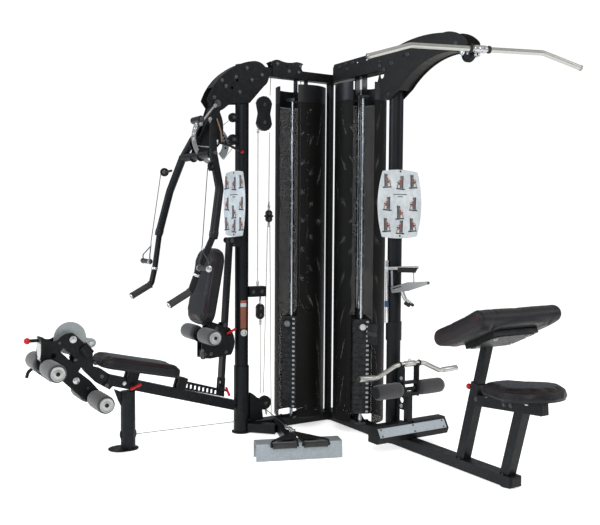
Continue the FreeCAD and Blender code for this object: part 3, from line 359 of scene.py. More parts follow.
FIGURE_GREY = moulded("figure_grey", (0.060, 0.066, 0.072), (0.11, 0.12, 0.13), 0.5, 0.1)
FIGURE_TAN = moulded("figure_tan", (0.30, 0.19, 0.14), (0.36, 0.24, 0.18), 0.5, 0.1)
FIGURE_BLUE = moulded("blue_sleeve", (0.02, 0.05, 0.10), (0.035, 0.08, 0.15), 0.4, 0.1)
LABEL = moulded("plain_label", (0.17, 0.058, 0.035), (0.21, 0.075, 0.045), 0.5, 0.1)
FIGURE_DARK = moulded("figure_dark", (0.020, 0.022, 0.026), (0.04, 0.042, 0.046), 0.5, 0.1)


# ---------------------------------------------------------------- making pieces
class Piece:
    """Geometry gathered for one piece, with a finish for each part of it."""

    def __init__(self, name):
        self.name = name
        self.mesh = bmesh.new()
        self.finishes = []

    def skin(self, rings, finish, looped=False, capped=True, smooth=True):
        """A surface through rings of points; a ring of one point is a pole."""
        if finish not in self.finishes:
            self.finishes.append(finish)
        rows = [[self.mesh.verts.new(point) for point in ring] for ring in rings]
        pairs = list(zip(rows, rows[1:]))
        if looped:
            pairs.append((rows[-1], rows[0]))
        faces = []
        for first, second in pairs:
            count = max(len(first), len(second))
            for index in range(count):
                after = (index + 1) % count
                corners = []
                for row, spot in ((first, index), (first, after), (second, after), (second, index)):
                    corner = row[spot % len(row)]
                    if corner not in corners:
                        corners.append(corner)
                faces.append(self.mesh.faces.new(corners))
        if capped and not looped:
            faces += [self.mesh.faces.new(row) for row in (rows[0], rows[-1]) if len(row) > 2]
        for face in faces:
            face.material_index = self.finishes.index(finish)
            face.smooth = smooth
        return self

    def lathe(self, centre, axis, profile, finish, sides=32):
        """A turned shape: profile is (distance along the axis, radius) pairs."""
        axis = axis.normalized()
        side, other = square_to(axis)
        rings = []
        for along, radius in profile:
            at = centre + axis * along
            if radius < 1e-6:
                rings.append([at])
                continue
            angles = [2 * math.pi * step / sides for step in range(sides)]
            rings.append([at + (side * math.cos(a) + other * math.sin(a)) * radius for a in angles])
        return self.skin(rings, finish)

    def bar(self, start, end, radius, finish, sides=24, soften=0.0015):
        """A round bar with softened ends."""
        run = (end - start).length
        soften = min(soften, radius / 2, run / 3)
        profile = [(0, radius - soften), (soften, radius), (run - soften, radius), (run, radius - soften)]
        return self.lathe(start, end - start, profile, finish, sides)

    def ball(self, centre, radius, finish, sides=24):
        steps = [math.pi * step / 12 for step in range(13)]
        profile = [(-radius * math.cos(a), radius * math.sin(a)) for a in steps]
        return self.lathe(centre, UP, profile, finish, sides)

    def tube(self, points, radius, finish, sides=16, looped=False):
        """A round tube along a line of points."""
        rings = []
        side = None
        count = len(points)
        for index, point in enumerate(points):
            before = points[index - 1] if index or looped else point
            after = points[(index + 1) % count] if index < count - 1 or looped else point
            along = (after - before).normalized()
            side = square_to(along)[0] if side is None else (side - along * side.dot(along)).normalized()
            other = along.cross(side)
            angles = [2 * math.pi * step / sides for step in range(sides)]
            rings.append([point + (side * math.cos(a) + other * math.sin(a)) * radius for a in angles])
        return self.skin(rings, finish, looped=looped)

    def slab(self, outline, depth, finish):
        """A flat plate: a closed outline of points, pushed along a vector."""
        return self.skin([list(outline), [point + depth for point in outline]], finish, smooth=False)

    def box(self, centre, size, finish, x=X_WAY, z=UP):
        """A box with its own directions."""
        y = z.cross(x).normalized()
        half = [axis * (length / 2) for axis, length in zip((x.normalized(), y, z.normalized()), size)]
        outline = [centre - half[2] + half[0] * a + half[1] * b for a,
                   b in ((-1, -1), (1, -1), (1, 1), (-1, 1))]
        return self.slab(outline, half[2] * 2, finish)

    def bolt(self, centre, axis, radius, finish, height=0.006):
        """A washer and a hexagon head whose underside is at centre."""
        self.lathe(centre, axis, [(0, radius * 1.35), (0.0016, radius * 1.35), (0.002, radius * 1.2)],
                   finish, 24)
        head = [(0.002, radius), (height - 0.001, radius), (height, radius * 0.84), (height, 0)]
        return self.lathe(centre, axis, head, finish, 6)

    def button(self, centre, axis, radius, finish, height=0.004):
        """A domed screw head with a socket."""
        profile = [(0, radius), (height * 0.4, radius * 0.96), (height * 0.8, radius * 0.75),
                   (height, radius * 0.45),
                   (height * 0.4, radius * 0.4), (height * 0.4, 0)]
        return self.lathe(centre, axis, profile, finish, 20)

    def make(self, body, bevel=0.0, sharp=38):
        """Turn the geometry into an object that rides on a body."""
        bmesh.ops.recalc_face_normals(self.mesh, faces=self.mesh.faces[:])
        data = bpy.data.meshes.new(self.name)
        self.mesh.to_mesh(data)
        self.mesh.free()
        for finish in self.finishes:
            data.materials.append(finish)
        data.set_sharp_from_angle(angle=math.radians(sharp))
        item = bpy.data.objects.new(self.name, data)
        bpy.context.scene.collection.objects.link(item)
        if bevel:
            soften(item, bevel)
        if body:
            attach(item, body)
        return item


def square_to(axis):
    """Two unit vectors square to an axis."""
    guide = UP if abs(axis.z) < 0.9 else X_WAY
    side = guide.cross(axis).normalized()
    return side, axis.cross(side).normalized()


def soften(item, width):
    """Round an object's sharp edges with a narrow bevel."""
    bevel = item.modifiers.new("softened", "BEVEL")
    bevel.width = width
    bevel.segments = 2
    bevel.limit_method = "ANGLE"
    bevel.angle_limit = math.radians(40)
    bevel.harden_normals = False


def rounded(points, radius, steps=7):
    """A line of points whose corners are turned into arcs."""
    line = [points[0]]
    for before, corner, after in zip(points, points[1:], points[2:]):
        into, out = (corner - before).normalized(), (after - corner).normalized()
        bend = into.angle(out)
        if bend < 0.02:
            line.append(corner)
            continue
        reach = min(radius * math.tan(bend / 2), (corner - before).length * 0.49,
                    (after - corner).length * 0.49)
        start, end = corner - into * reach, corner + out * reach
        for step in range(steps + 1):
            t = step / steps
            line.append(start.lerp(corner, t).lerp(corner.lerp(end, t), t))
    line.append(points[-1])
    return line


def arc(centre, first, second, radius, start, end, steps=12):
    """Points on an arc in the plane of two unit vectors, between two angles in degrees."""
    angles = [math.radians(start + (end - start) * step / steps) for step in range(steps + 1)]
    return [centre + (first * math.cos(a) + second * math.sin(a)) * radius for a in angles]


def divided(start, end, pieces):
    """Evenly spaced points from start to end."""
    return [start.lerp(end, step / pieces) for step in range(pieces + 1)]


def paint(material, *nodes, bevel=0.0008):
    """Give CAD nodes a finish and softened edges."""
    for name in nodes:
        node = NODES[name]
        node.data.materials.clear()
        node.data.materials.append(material)
        if bevel:
            soften(node, bevel)


# ---------------------------------------------------------------- cushions
class Slab:
    """The place, directions and size of a CAD cushion, from its own flat faces."""

    def __init__(self, node, across, facing):
        mesh = NODES[node].data
        flat = max(mesh.polygons, key=lambda polygon: polygon.area)
        self.up = flat.normal.copy().normalized()
        if self.up.dot(facing) < 0:
            self.up.negate()
        self.across = across.normalized()
        self.along = self.across.cross(self.up).normalized()
        spots = [(v.co.dot(self.along), v.co.dot(self.across), v.co.dot(self.up)) for v in mesh.vertices]
        low, high = [min(axis) for axis in zip(*spots)], [max(axis) for axis in zip(*spots)]
        self.size = [b - a for a, b in zip(low, high)]
        self.origin = self.along * ((low[0]
                                     + high[0]) / 2) + self.across * ((low[1]
                                                                       + high[1]) / 2) + self.up * low[2]
        self.spots = spots

    def at(self, along, across, up):
        return self.origin + self.along * along + self.across * across + self.up * up

    def outline(self, count=96):
        """The cushion's outline seen from above, evenly spaced, about its centre."""
        centre = (self.origin.dot(self.along), self.origin.dot(self.across))
        flat = [(a - centre[0], b - centre[1]) for a, b, _ in self.spots]
        order = [Vector(flat[index]) for index in hull(flat)]
        lengths = [(b - a).length for a, b in zip(order, order[1:] + order[:1])]
        step, line, walked, index = sum(lengths) / count, [], 0.0, 0
        for number in range(count):
            target = step * number
            while walked + lengths[index] < target - 1e-9:
                walked += lengths[index]
                index += 1
            share = (target - walked) / lengths[index]
            line.append(order[index].lerp(order[(index + 1) % len(order)], share))
        return line


def hull(points):
    """Indices of the convex outline of flat points, in order."""
    order = sorted(range(len(points)), key=lambda index: points[index])

    def half(indices):
        kept = []
        for index in indices:
            while len(kept) > 1:
                (ax, ay), (bx, by), (cx, cy) = points[kept[-2]], points[kept[-1]], points[index]
                if (bx - ax) * (cy - ay) - (by - ay) * (cx - ax) > 1e-9:
                    break
                kept.pop()
            kept.append(index)
        return kept[:-1]

    return half(order) + half(order[::-1])


def inset(outline, distance):
    """A convex outline moved inwards by a distance."""
    line = []
    for index, point in enumerate(outline):
        along = (outline[(index + 1) % len(outline)] - outline[index - 1]).normalized()
        line.append(point + Vector((-along.y, along.x)) * distance)
    return line


def stuffed(name, rings, held, cap, body, node):
    """A sewn cover blown up over its filling: held(point) is true where a board holds it."""
    piece = Piece(name)
    piece.skin(rings, LEATHER)
    item = piece.make(None)
    remesh = item.modifiers.new("even", "REMESH")
    remesh.mode = "VOXEL"
    remesh.voxel_size = 0.0058
    apply_modifiers(item)
    rest = [vertex.co.copy() for vertex in item.data.vertices]
    board = item.vertex_groups.new(name="board")
    board.add([index for index, point in enumerate(rest) if held(point)], 1.0, "REPLACE")
    cloth = item.modifiers.new("cover", "CLOTH")
    cloth.settings.quality = 5
    cloth.settings.mass = 0.25
    cloth.settings.use_pressure = True
    cloth.settings.uniform_pressure_force = 4.0
    cloth.settings.vertex_group_mass = "board"
    cloth.settings.effector_weights.gravity = 0.0
    for number in range(1, 21):
        bpy.context.scene.frame_set(number)
    shown = item.evaluated_get(bpy.context.evaluated_depsgraph_get())
    swollen = [vertex.co.copy() for vertex in shown.data.vertices]
    item.modifiers.remove(cloth)
    bpy.context.scene.frame_set(1)
    for vertex, before, after in zip(item.data.vertices, rest, swollen):
        move = after - before
        vertex.co = before + move * min(1.0, cap / max(move.length, 1e-9))
    relax(item, 2)
    item.data.materials.clear()
    item.data.materials.append(LEATHER)
    item.data.shade_smooth()
    finer = item.modifiers.new("finer", "SUBSURF")
    finer.levels = finer.render_levels = 1
    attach(item, body)
    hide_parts(node)
    return item


def apply_modifiers(item):
    """Replace an object's mesh with its evaluated one."""
    shown = item.evaluated_get(bpy.context.evaluated_depsgraph_get())
    data = bpy.data.meshes.new_from_object(shown)
    item.modifiers.clear()
    item.data = data


def relax(item, rounds):
    """Even out the remesh's small steps."""
    mesh = bmesh.new()
    mesh.from_mesh(item.data)
    for _ in range(rounds):
        bmesh.ops.smooth_vert(mesh, verts=mesh.verts, factor=0.5, use_axis_x=True, use_axis_y=True,
                              use_axis_z=True)
    mesh.to_mesh(item.data)
    mesh.free()


def dent(item, line, reach, depth):
    """Pull a cushion in along a seam, so that the cover rolls over on both sides of it."""
    mesh = item.data
    mesh.update()
    from_seam = BVHTree.FromPolygons(*ribbon(line))
    normals = [vertex.normal.copy() for vertex in mesh.vertices]
    for vertex, normal in zip(mesh.vertices, normals):
        near = from_seam.find_nearest(vertex.co, reach * 2.5)
        if near[0] is not None:
            vertex.co -= normal * depth * math.exp(-(near[3] / reach) ** 2)
    mesh.update()


def ribbon(line):
    """Thin triangles along a closed line, for measuring distance to it."""
    count = len(line)
    points = list(line) + [point + Vector((0, 0, 1e-5)) for point in line]
    return points, [(i, (i + 1) % count, count + i) for i in range(count)]


def seam_line(item, starts, ways):
    """Where lines that point at a cushion meet its cover."""
    bpy.context.view_layer.update()
    tree = BVHTree.FromObject(item, bpy.context.evaluated_depsgraph_get())
    line = []
    for start, way in zip(starts, ways):
        hit = tree.ray_cast(start, way.normalized())
        if hit[0] is not None:
            line.append(hit[0])
    return line


def even_line(line, rounds=3):
    """A closed line with its small steps smoothed out."""
    for _ in range(rounds):
        line = [(line[i - 1] + line[i] * 2 + line[(i + 1) % len(line)]) / 4 for i in range(len(line))]
    return line


def piped(name, item, starts, ways, body, radius=0.0021):
    """Piping sewn round a cushion, in a seam that pulls the cover in."""
    line = even_line(seam_line(item, starts, ways))
    dent(item, line, 0.007, 0.0022)
    line = even_line(seam_line(item, starts, ways))
    cord = Piece(name)
    cord.tube(line, radius, PIPING, sides=10, looped=True)
    return cord.make(body)


def flat_cushion(label, node, body, across, facing, board_shrink=0.014):
    """A boxed cushion on a board: crowned top, piping at the top edge and a plain seam below."""
    slab = Slab(node, across, facing)
    outline = slab.outline()
    thick = slab.size[2]
    levels = [(0.030, 0.004), (0.012, 0.0035), (0.006, 0.008), (0.005, thick * 0.35), (0.005, thick * 0.62),
              (0.008, thick * 0.8), (0.016, thick * 0.905), (0.030, thick * 0.945), (0.055, thick * 0.955)]
    rings = [[slab.at(0, 0, 0.004)]]
    rings += [[slab.at(p.x, p.y, height) for p in inset(outline, shift)] for shift, height in levels]
    rings.append([slab.at(0, 0, thick * 0.965)])
    floor = slab.at(0, 0, 0.0055).dot(slab.up)
    item = stuffed(label, rings, lambda point: point.dot(slab.up) < floor, 0.0075, body, node)
    middle_line = [Vector((0, 0))] * len(outline)
    for name, height in (("top", 0.86), ("lower", 0.14)):
        starts = [slab.at(p.x * 1.4, p.y * 1.4, thick * height) for p in outline]
        ways = [slab.at(m.x, m.y, thick * height) - start for m, start in zip(middle_line, starts)]
        if name == "top":
            piped(f"{label}_piping", item, starts, ways, body)
        else:
            dent(item, even_line(seam_line(item, starts, ways)), 0.004, 0.0018)
    board = Piece(f"{label}_board")
    lower = [[slab.at(p.x, p.y, height) for p in inset(outline, board_shrink)] for height in (0.0002, 0.0052)]
    board.skin(lower, PLASTIC, smooth=False)
    for a in (-1, 1):
        for b in (-1, 1):
            spot = slab.at(a * slab.size[0] * 0.32, b * slab.size[1] * 0.3, 0.0004)
            board.button(spot, slab.up * -1, 0.006, SATIN_STEEL, 0.002)
    board.make(body, bevel=0.0008)
    return slab


def preacher_cushion():
    """The long round-edged arm pad, its end panels piped all round."""
    slab = Slab("preacher_pad", X_WAY, UP)
    long, wide, thick = slab.size[1], slab.size[0], slab.size[2]
    radius, run = thick / 2, wide / 2 - thick / 2

    def section(shift):
        line = []
        for side, start in ((1, -90), (-1, 90)):
            for step in range(25):
                angle = math.radians(start + 180 * step / 24)
                line.append(Vector((side * run + (radius - shift) * math.cos(angle),
                                    radius + (radius - shift) * math.sin(angle))))
        return line

    def ring(across, shift):
        return [slab.at(p.x, across, p.y) for p in section(shift)]

    levels = [(0.006, 0.030), (0.007, 0.016), (0.012, 0.008), (0.024, 0.0045), (0.12, 0.004)]
    rings = [[slab.at(0, -long / 2 + 0.006, radius)]]
    rings += [ring(-long / 2 + edge, shift) for edge, shift in levels]
    rings += [ring(long / 2 - edge, shift) for edge, shift in reversed(levels)]
    rings.append([slab.at(0, long / 2 - 0.006, radius)])
    floor = slab.at(0, 0, 0.0075).dot(slab.up)
    item = stuffed("arm_cushion", rings, lambda p: p.dot(slab.up) < floor and abs(p.x) < 0.13, 0.007,
                   "arm_pad", "preacher_pad")
    for name, side in (("left", -1), ("right", 1)):
        across = side * (long / 2 - 0.012)
        section_line = section(0.0)
        starts = [slab.at(p.x * 1.2, across, radius + (p.y - radius) * 1.5) for p in section_line]
        ways = [slab.at(max(-run, min(run, p.x)), across, radius) - start for p,
                start in zip(section_line, starts)]
        piped(f"arm_cushion_{name}_piping", item, starts, ways, "arm_pad", 0.0024)


def rollers(label, node, joint, body, inner, disc_finish=None, axle_finish=None):
    """A pair of foam rollers with pressed end discs and their axle."""
    centre, axis = pivot(joint), travel(joint)
    low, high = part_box(node)
    outer = (high - low).dot(Vector([abs(value) for value in axis])) / 2
    radius = (high.z - low.z) / 2
    foam_piece = Piece(label)
    for side in (-1, 1):
        way = axis * side
        profile = [(inner, radius * 0.45), (inner, radius - 0.013), (inner + 0.003, radius - 0.006),
                   (inner + 0.010, radius - 0.001), (inner + 0.024, radius + 0.0006),
                   ((inner + outer) / 2, radius + 0.0012),
                   (outer - 0.022, radius + 0.0006), (outer - 0.009, radius - 0.001),
                   (outer - 0.003, radius - 0.006),
                   (outer - 0.0005, radius - 0.013), (outer - 0.001, radius * 0.5)]
        foam_piece.lathe(centre, way, profile, FOAM, 56)
        disc = radius * 0.80
        face = [(outer - 0.002, disc), (outer + 0.0012, disc - 0.0005), (outer + 0.0022, disc - 0.003),
                (outer + 0.0008, disc * 0.78), (outer + 0.0008, disc * 0.52), (outer + 0.0022, disc * 0.44),
                (outer + 0.0022, disc * 0.3), (outer - 0.001, disc * 0.3)]
        foam_piece.lathe(centre, way, face, disc_finish or DISC_STEEL, 44)
        hub = [(outer - 0.001, disc * 0.3), (outer + 0.003, disc * 0.28), (outer + 0.0036, disc * 0.16),
               (outer + 0.0015, disc * 0.14), (outer + 0.0015, 0)]
        foam_piece.lathe(centre, way, hub, PLASTIC, 24)
        collar = [(inner - 0.007, 0.011), (inner - 0.007, 0.018), (inner - 0.005, 0.019), (inner, 0.019)]
        foam_piece.lathe(centre, way, collar, PLASTIC, 24)
    foam_piece.bar(centre - axis * (inner + 0.002), centre + axis * (inner + 0.002), 0.0098,
                   axle_finish or CHROME)
    item = foam_piece.make(body)
    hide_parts(node)


def soft_goods():
    """Every cushion and foam roller."""
    flat_cushion("back_cushion", "back_pad", "back_rest", Y_WAY, X_WAY * -1)
    flat_cushion("bench_cushion", "bench_seat", "bench", Y_WAY, UP)
    flat_cushion("seat_cushion", "lat_seat", "frame", X_WAY, UP)
    preacher_cushion()
    rollers("upper_leg_foam", "upper_leg_rollers", "upper_roller_spin", "upper_rollers", 0.055)
    rollers("lower_leg_foam", "lower_leg_rollers", "lower_roller_spin", "lower_rollers", 0.055)
    rollers("back_foam_pair", "back_rollers", "back_roller_spin", "back_foam", 0.036)
    rollers("ankle_foam_pair", "ankle_rollers", "ankle_roller_spin", "ankle_foam", 0.058, BLACK,
            SHADE_BLACK)


# ---------------------------------------------------------------- CAD finishes
SHROUD_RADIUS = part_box("right_shroud")[1].x


def paint_frame():
    """Finishes for the CAD nodes that stay in view."""
    paint(BLACK, "left_base_beam", "right_base_beam", "row_base_tube", "left_column", "right_column",
          "bench_frame", "ankle_frame", "seat_frame", "preacher_post", "back_post", "press_yoke",
          "left_press_arm", "right_press_arm", "leg_head", bevel=0.0012)
    paint(SHADE_BLACK, "corner_frame", "top_pulley_bracket", "press_head", "left_column_brackets",
          "press_carriage", "leg_lever", "back_carriage", "bench_seat_blocks", "foot_rest", bevel=0.0008)
    paint(WARM_BLACK, "lat_head", bevel=0.0008)
    paint(RUBBER, "rubber_feet", bevel=0.001)
    paint(TREAD, "row_foot_plate", bevel=0.0015)
    paint(PLASTIC, "shroud_bands", "pulley_blocks", bevel=0.001)
    paint(SILVER_COAT, "leg_cam", bevel=0.001)
    paint(IRON, "weight_plates", "left_stack_carriage", "right_stack_carriage", bevel=0.0015)
    paint(rod_finish(), "guide_rods", bevel=0)
    paint(CABLE, "machine_cables", bevel=0)
    paint(SHEET, "exercise_charts", bevel=0.0008)
    for side in ("left", "right"):
        paint(perforated(f"{side}_mesh", stack_centre(side), SHROUD_RADIUS), f"{side}_shroud", bevel=0)


def stack_centre(side):
    """The upright axis of one weight stack."""
    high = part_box(f"{side}_shroud")[1]
    if side == "left":
        return Vector((high.x - SHROUD_RADIUS, 0, 0))
    return Vector((0, high.y - SHROUD_RADIUS, 0))


# ---------------------------------------------------------------- fittings
def spot(x, y, z):
    return Vector((x, y, z))


def wheel(piece, centre, axis, radius, width, finish, hub=None):
    """A pulley wheel: a grooved rim, a recessed web and a raised hub."""
    half = width / 2
    side = [(0.0, half), (0.20, half), (0.24, half * 0.9), (0.30, half * 0.55), (0.74, half * 0.55),
            (0.80, half * 0.95), (0.97, half * 0.95), (1.0, half * 0.8)]
    profile = [(-depth, share * radius) for share, depth in side] + [(0, radius * 0.84)]
    profile += [(depth, share * radius) for share, depth in side[::-1]]
    piece.lathe(centre, axis, profile, finish, 40)
    for way in (-1, 1):
        piece.bolt(centre + axis.normalized() * (way * half), axis * way, 0.008, hub or BLACK_BOLT, 0.006)


def bolts(piece, places, axis, radius=0.0085, finish=None, height=0.007):
    for place in places:
        piece.bolt(place, axis, radius, finish or BLACK_BOLT, height)


def numeral(piece, text, centre, side, size, finish):
    """A raised number that reads along a side direction, upright."""
    curve = bpy.data.curves.new("numeral", "FONT")
    curve.body = text
    curve.size = size
    curve.align_x = "CENTER"
    curve.align_y = "CENTER"
    curve.extrude = 0.0002
    curve.resolution_u = 2
    stencil = bpy.data.objects.new("numeral", curve)
    mesh = bpy.data.meshes.new_from_object(stencil)
    bpy.data.objects.remove(stencil)
    out = side.cross(UP)
    for vertex in mesh.vertices:
        x, y, z = vertex.co
        vertex.co = centre + side * x + UP * y + out * z
    if finish not in piece.finishes:
        piece.finishes.append(finish)
    before = len(piece.mesh.faces)
    piece.mesh.from_mesh(mesh)
    piece.mesh.faces.ensure_lookup_table()
    for face in piece.mesh.faces[before:]:
        face.material_index = piece.finishes.index(finish)
        face.smooth = False
    bpy.data.meshes.remove(mesh)


def stretching_cable(name, points, radius=0.0026, finish=None):
    """A cable from the frame to a moving body, which lengthens between two points in use; it is drawn as a
    fixed tube along a line of points.
    """
    piece = Piece(name)
    piece.tube(points, radius, finish or CABLE, sides=10)
    item = piece.make(None)
    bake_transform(item)
    return item


def snap_hook(piece, top, bottom, side, width=0.016, radius=0.0028, finish=None):
    """A carabiner: an oval ring of rod between two points."""
    middle_at, tall = (top + bottom) / 2, (top - bottom).length / 2
    along = (top - bottom).normalized()
    turns = [2 * math.pi * step / 28 for step in range(28)]
    ring = [middle_at + along * (tall * math.cos(a)) + side * (width * math.sin(a)) for a in turns]
    piece.tube(ring, radius, finish or SATIN_STEEL, sides=10, looped=True)


# weight stacks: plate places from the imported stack, marks beside the selector holes
PLATE_COUNT = 20
PLATE_PITCH = 0.0266
PLATE_HALF = 0.0127
PLATE_FACE = 0.125
PIN_LATERAL = 0.0158
MARK_LATERAL = 0.034


def stack_spot(side, along, lateral, height):
    """A place on a stack: out towards the user, across to its pin side, and up."""
    way = travel(f"{side}_selector_pull")
    return stack_centre(side) + way * along + UP.cross(way) * lateral + UP * height


def stack_fittings(side):
    """The number tags, pin holes, selector pin and lifting cable of one stack."""
    way = travel(f"{side}_selector_pull")
    across = UP.cross(way)
    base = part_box("weight_plates")[0].z + PLATE_HALF
    for name, body, first, last in ((f"{side}_plate_tags", "frame", 0, PLATE_COUNT - 2),
                                    (f"{side}_lifted_tags", f"{side}_stack", PLATE_COUNT - 2, PLATE_COUNT)):
        tags = Piece(name)
        for index in range(first, last):
            height = base + PLATE_PITCH * index
            tag = stack_spot(side, PLATE_FACE + 0.0003, MARK_LATERAL, height)
            tags.box(tag, (0.0008, 0.0145, 0.0100), MARK, x=way)
            numeral(tags, str(10 * (PLATE_COUNT - index)), tag + way * 0.0005, across, 0.0070, RUBBER)
            hole = stack_spot(side, PLATE_FACE, PIN_LATERAL, height)
            tags.lathe(hole, way, [(-0.001, 0.0056), (0.0004, 0.0054), (0.0004, 0)], RUBBER, 20)
        tags.make(body)
    height = base + PLATE_PITCH * (PLATE_COUNT - 2)
    start = stack_spot(side, -0.009, PIN_LATERAL, height)
    pin = Piece(f"{side}_selector")
    pin.bar(start, start + way * 0.150, 0.0048, CHROME)
    knob = start + way * 0.1475 - across * 0.0118
    pin.lathe(knob, way,
              [(0, 0), (0, 0.012), (0.002, 0.0125), (0.003, 0.0175), (0.005, 0.019), (0.0095, 0.019),
                          (0.0118, 0.0172), (0.0118, 0.0125), (0.0108, 0.0118), (0.0108, 0)], SATIN_STEEL)
    item = pin.make(f"{side}_selector")
    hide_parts(f"{side}_selector_pin")
    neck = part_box(f"{side}_stack_carriage")[1].z
    low = stack_spot(side, 0, 0, neck - 0.003)
    socket = Piece(f"{side}_cable_socket")
    socket.lathe(low, UP,
                 [(0, 0), (0, 0.0115), (0.004, 0.0125), (0.018, 0.0125), (0.022, 0.009), (0.034, 0.007),
                           (0.040, 0.0045), (0.040, 0)], SATIN_STEEL, 24)
    socket.bolt(low, UP, 0.0145, SATIN_STEEL, 0.008)
    socket.make(f"{side}_stack")
    high = stack_spot(side, 0, 0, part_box("corner_frame")[1].z - 0.052)
    foot = low + UP * 0.036
    stretching_cable(f"{side}_lift_cable", divided(high, foot, 40))


def upper_pulleys():
    """The pulleys over the two top beams with their bolts."""
    beam_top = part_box("corner_frame")[1].z
    left = Piece("left_top_pulleys")
    low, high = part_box("top_pulley_bracket")
    for x in (low.x + 0.040, stack_centre("left").x - 0.024):
        centre = spot(x, 0, beam_top + 0.024)
        wheel(left, centre, Y_WAY, 0.021, 0.016, PLASTIC)
        left.bar(centre - Y_WAY * 0.029, centre + Y_WAY * 0.029, 0.005, SATIN_STEEL)
        bolts(left, [centre - Y_WAY * 0.031], -Y_WAY, 0.0085)
        bolts(left, [centre + Y_WAY * 0.031], Y_WAY, 0.0085)
    for x in (high.x - 0.034, (low.x + high.x) / 2 + 0.010):
        bolts(left, [spot(x, low.y, low.z + 0.036)], -Y_WAY, 0.0085)
    left.make("frame")
    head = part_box("lat_head")
    right = Piece("pulldown_pulleys")
    rear = spot(0, stack_centre("right").y - 0.024, beam_top + 0.024)
    front = spot(0, -0.745, beam_top - 0.005)
    wheel(right, rear, X_WAY, 0.021, 0.016, PLASTIC)
    wheel(right, front, X_WAY, 0.040, 0.018, PLASTIC)
    for centre in (rear, front):
        right.bar(centre - X_WAY * 0.046, centre + X_WAY * 0.046, 0.005, SATIN_STEEL)
    places = [(-0.131, 2.087), (-0.196, 2.094), (-0.206, 2.064), (-0.265, 2.089), (-0.511, 2.033),
              (-0.547, 2.006),
              (-0.615, 2.032), (-0.588, 1.871), (-0.745, 2.055), (-0.995, 2.052), (-1.105, 2.046)]
    for side, x in ((-1, head[0].x), (1, head[1].x)):
        bolts(right, [spot(x, y, z) for y, z in places], X_WAY * side, 0.0085)
        bolts(right, [spot(x, JOINTS["nose_pulley_spin"]["pos_m"][1], pivot("nose_pulley_spin").z)],
              X_WAY * side, 0.0125, SATIN_STEEL, 0.009)
    right.make("frame")
    return rear, front


def pulldown_station():
    """The nose pulley, the long bar with its clamp and carabiner, and the cable that joins them."""
    rear, front = upper_pulleys()
    nose = pivot("nose_pulley_spin")
    pulley = Piece("nose_wheel")
    wheel(pulley, nose, X_WAY, 0.0448, 0.018, PLASTIC, SATIN_STEEL)
    item = pulley.make("nose_pulley")
    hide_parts("lat_pulley")
    low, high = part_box("lat_bar")
    centre = spot((low.x + high.x) / 2, (low.y + high.y) / 2, high.z - 0.017)
    turn = math.radians(-18.5)
    way = spot(math.cos(turn), math.sin(turn), 0)
    span, bend, drop, radius = 0.540, 0.335, 0.062, 0.0125
    ends = [centre + way * (side * span) - UP * drop for side in (-1, 1)]
    points = rounded([ends[0], centre - way * bend, centre + way * bend, ends[1]], 0.07)
    bar = Piece("pulldown_handle")
    bar.tube(points, radius, BAR_STEEL, sides=28)
    for side, end in zip((-1, 1), ends):
        out = (way * (side * (span - bend)) - UP * drop).normalized()
        bar.lathe(end - out * 0.006, out, [(0, radius + 0.0012), (0.004, radius + 0.0016), (0.008, radius),
                                           (0.009, 0.006), (0.009, 0)], LINK_STEEL, 28)
    for side in (-1, 1):
        collar = centre + way * (side * 0.040 + 0.010)
        bar.lathe(collar, way * side, [(-0.001, 0.012), (-0.001, 0.0165), (0.001, 0.0178), (0.010, 0.0178),
                                       (0.012, 0.0165), (0.012, 0.012)], RUBBER, 32)
    bar.lathe(centre + way * 0.010, way,
              [(-0.030, 0.012), (-0.030, 0.0165), (-0.027, 0.0180), (-0.006, 0.0180),
                                          (-0.004, 0.0168), (0.004, 0.0168), (0.006, 0.0180), (0.027, 0.0180),
                                          (0.030, 0.0165), (0.030, 0.012)], SATIN_STEEL, 32)
    eye = centre - UP * 0.024
    ring = arc(eye, way, UP, 0.0095, 0, 345, 23)
    bar.tube(ring, 0.0032, SATIN_STEEL, sides=12, looped=True)
    toggle = nose.y - 0.0405
    top = spot(0, toggle, nose.z - 0.012)
    hook_side = way.cross(UP).normalized()
    snap_hook(bar, top - UP * 0.008, eye - UP * 0.012, (way * 0.5 + hook_side).normalized(), 0.011)
    bar.lathe(top + UP * 0.012, UP * -1,
              [(0, 0.0026), (0, 0.005), (0.002, 0.006), (0.018, 0.006), (0.022, 0.003)],
              SATIN_STEEL, 20)
    item = bar.make("pulldown_bar")
    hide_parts("lat_bar")
    over = arc(nose, -Y_WAY, UP, 0.0405, 90, 0, 8)
    route = [rear + UP * 0.0205, front + spot(0, 0.02, 0.0405), front + spot(0, -0.02, 0.040), over[0]]
    points = divided(route[0], route[1], 4) + divided(route[2], route[3], 4)[:-1] + over
    points += divided(over[-1], top + UP * 0.010, 30)[1:]
    stretching_cable("pulldown_cable", points, finish=DARK_CABLE)


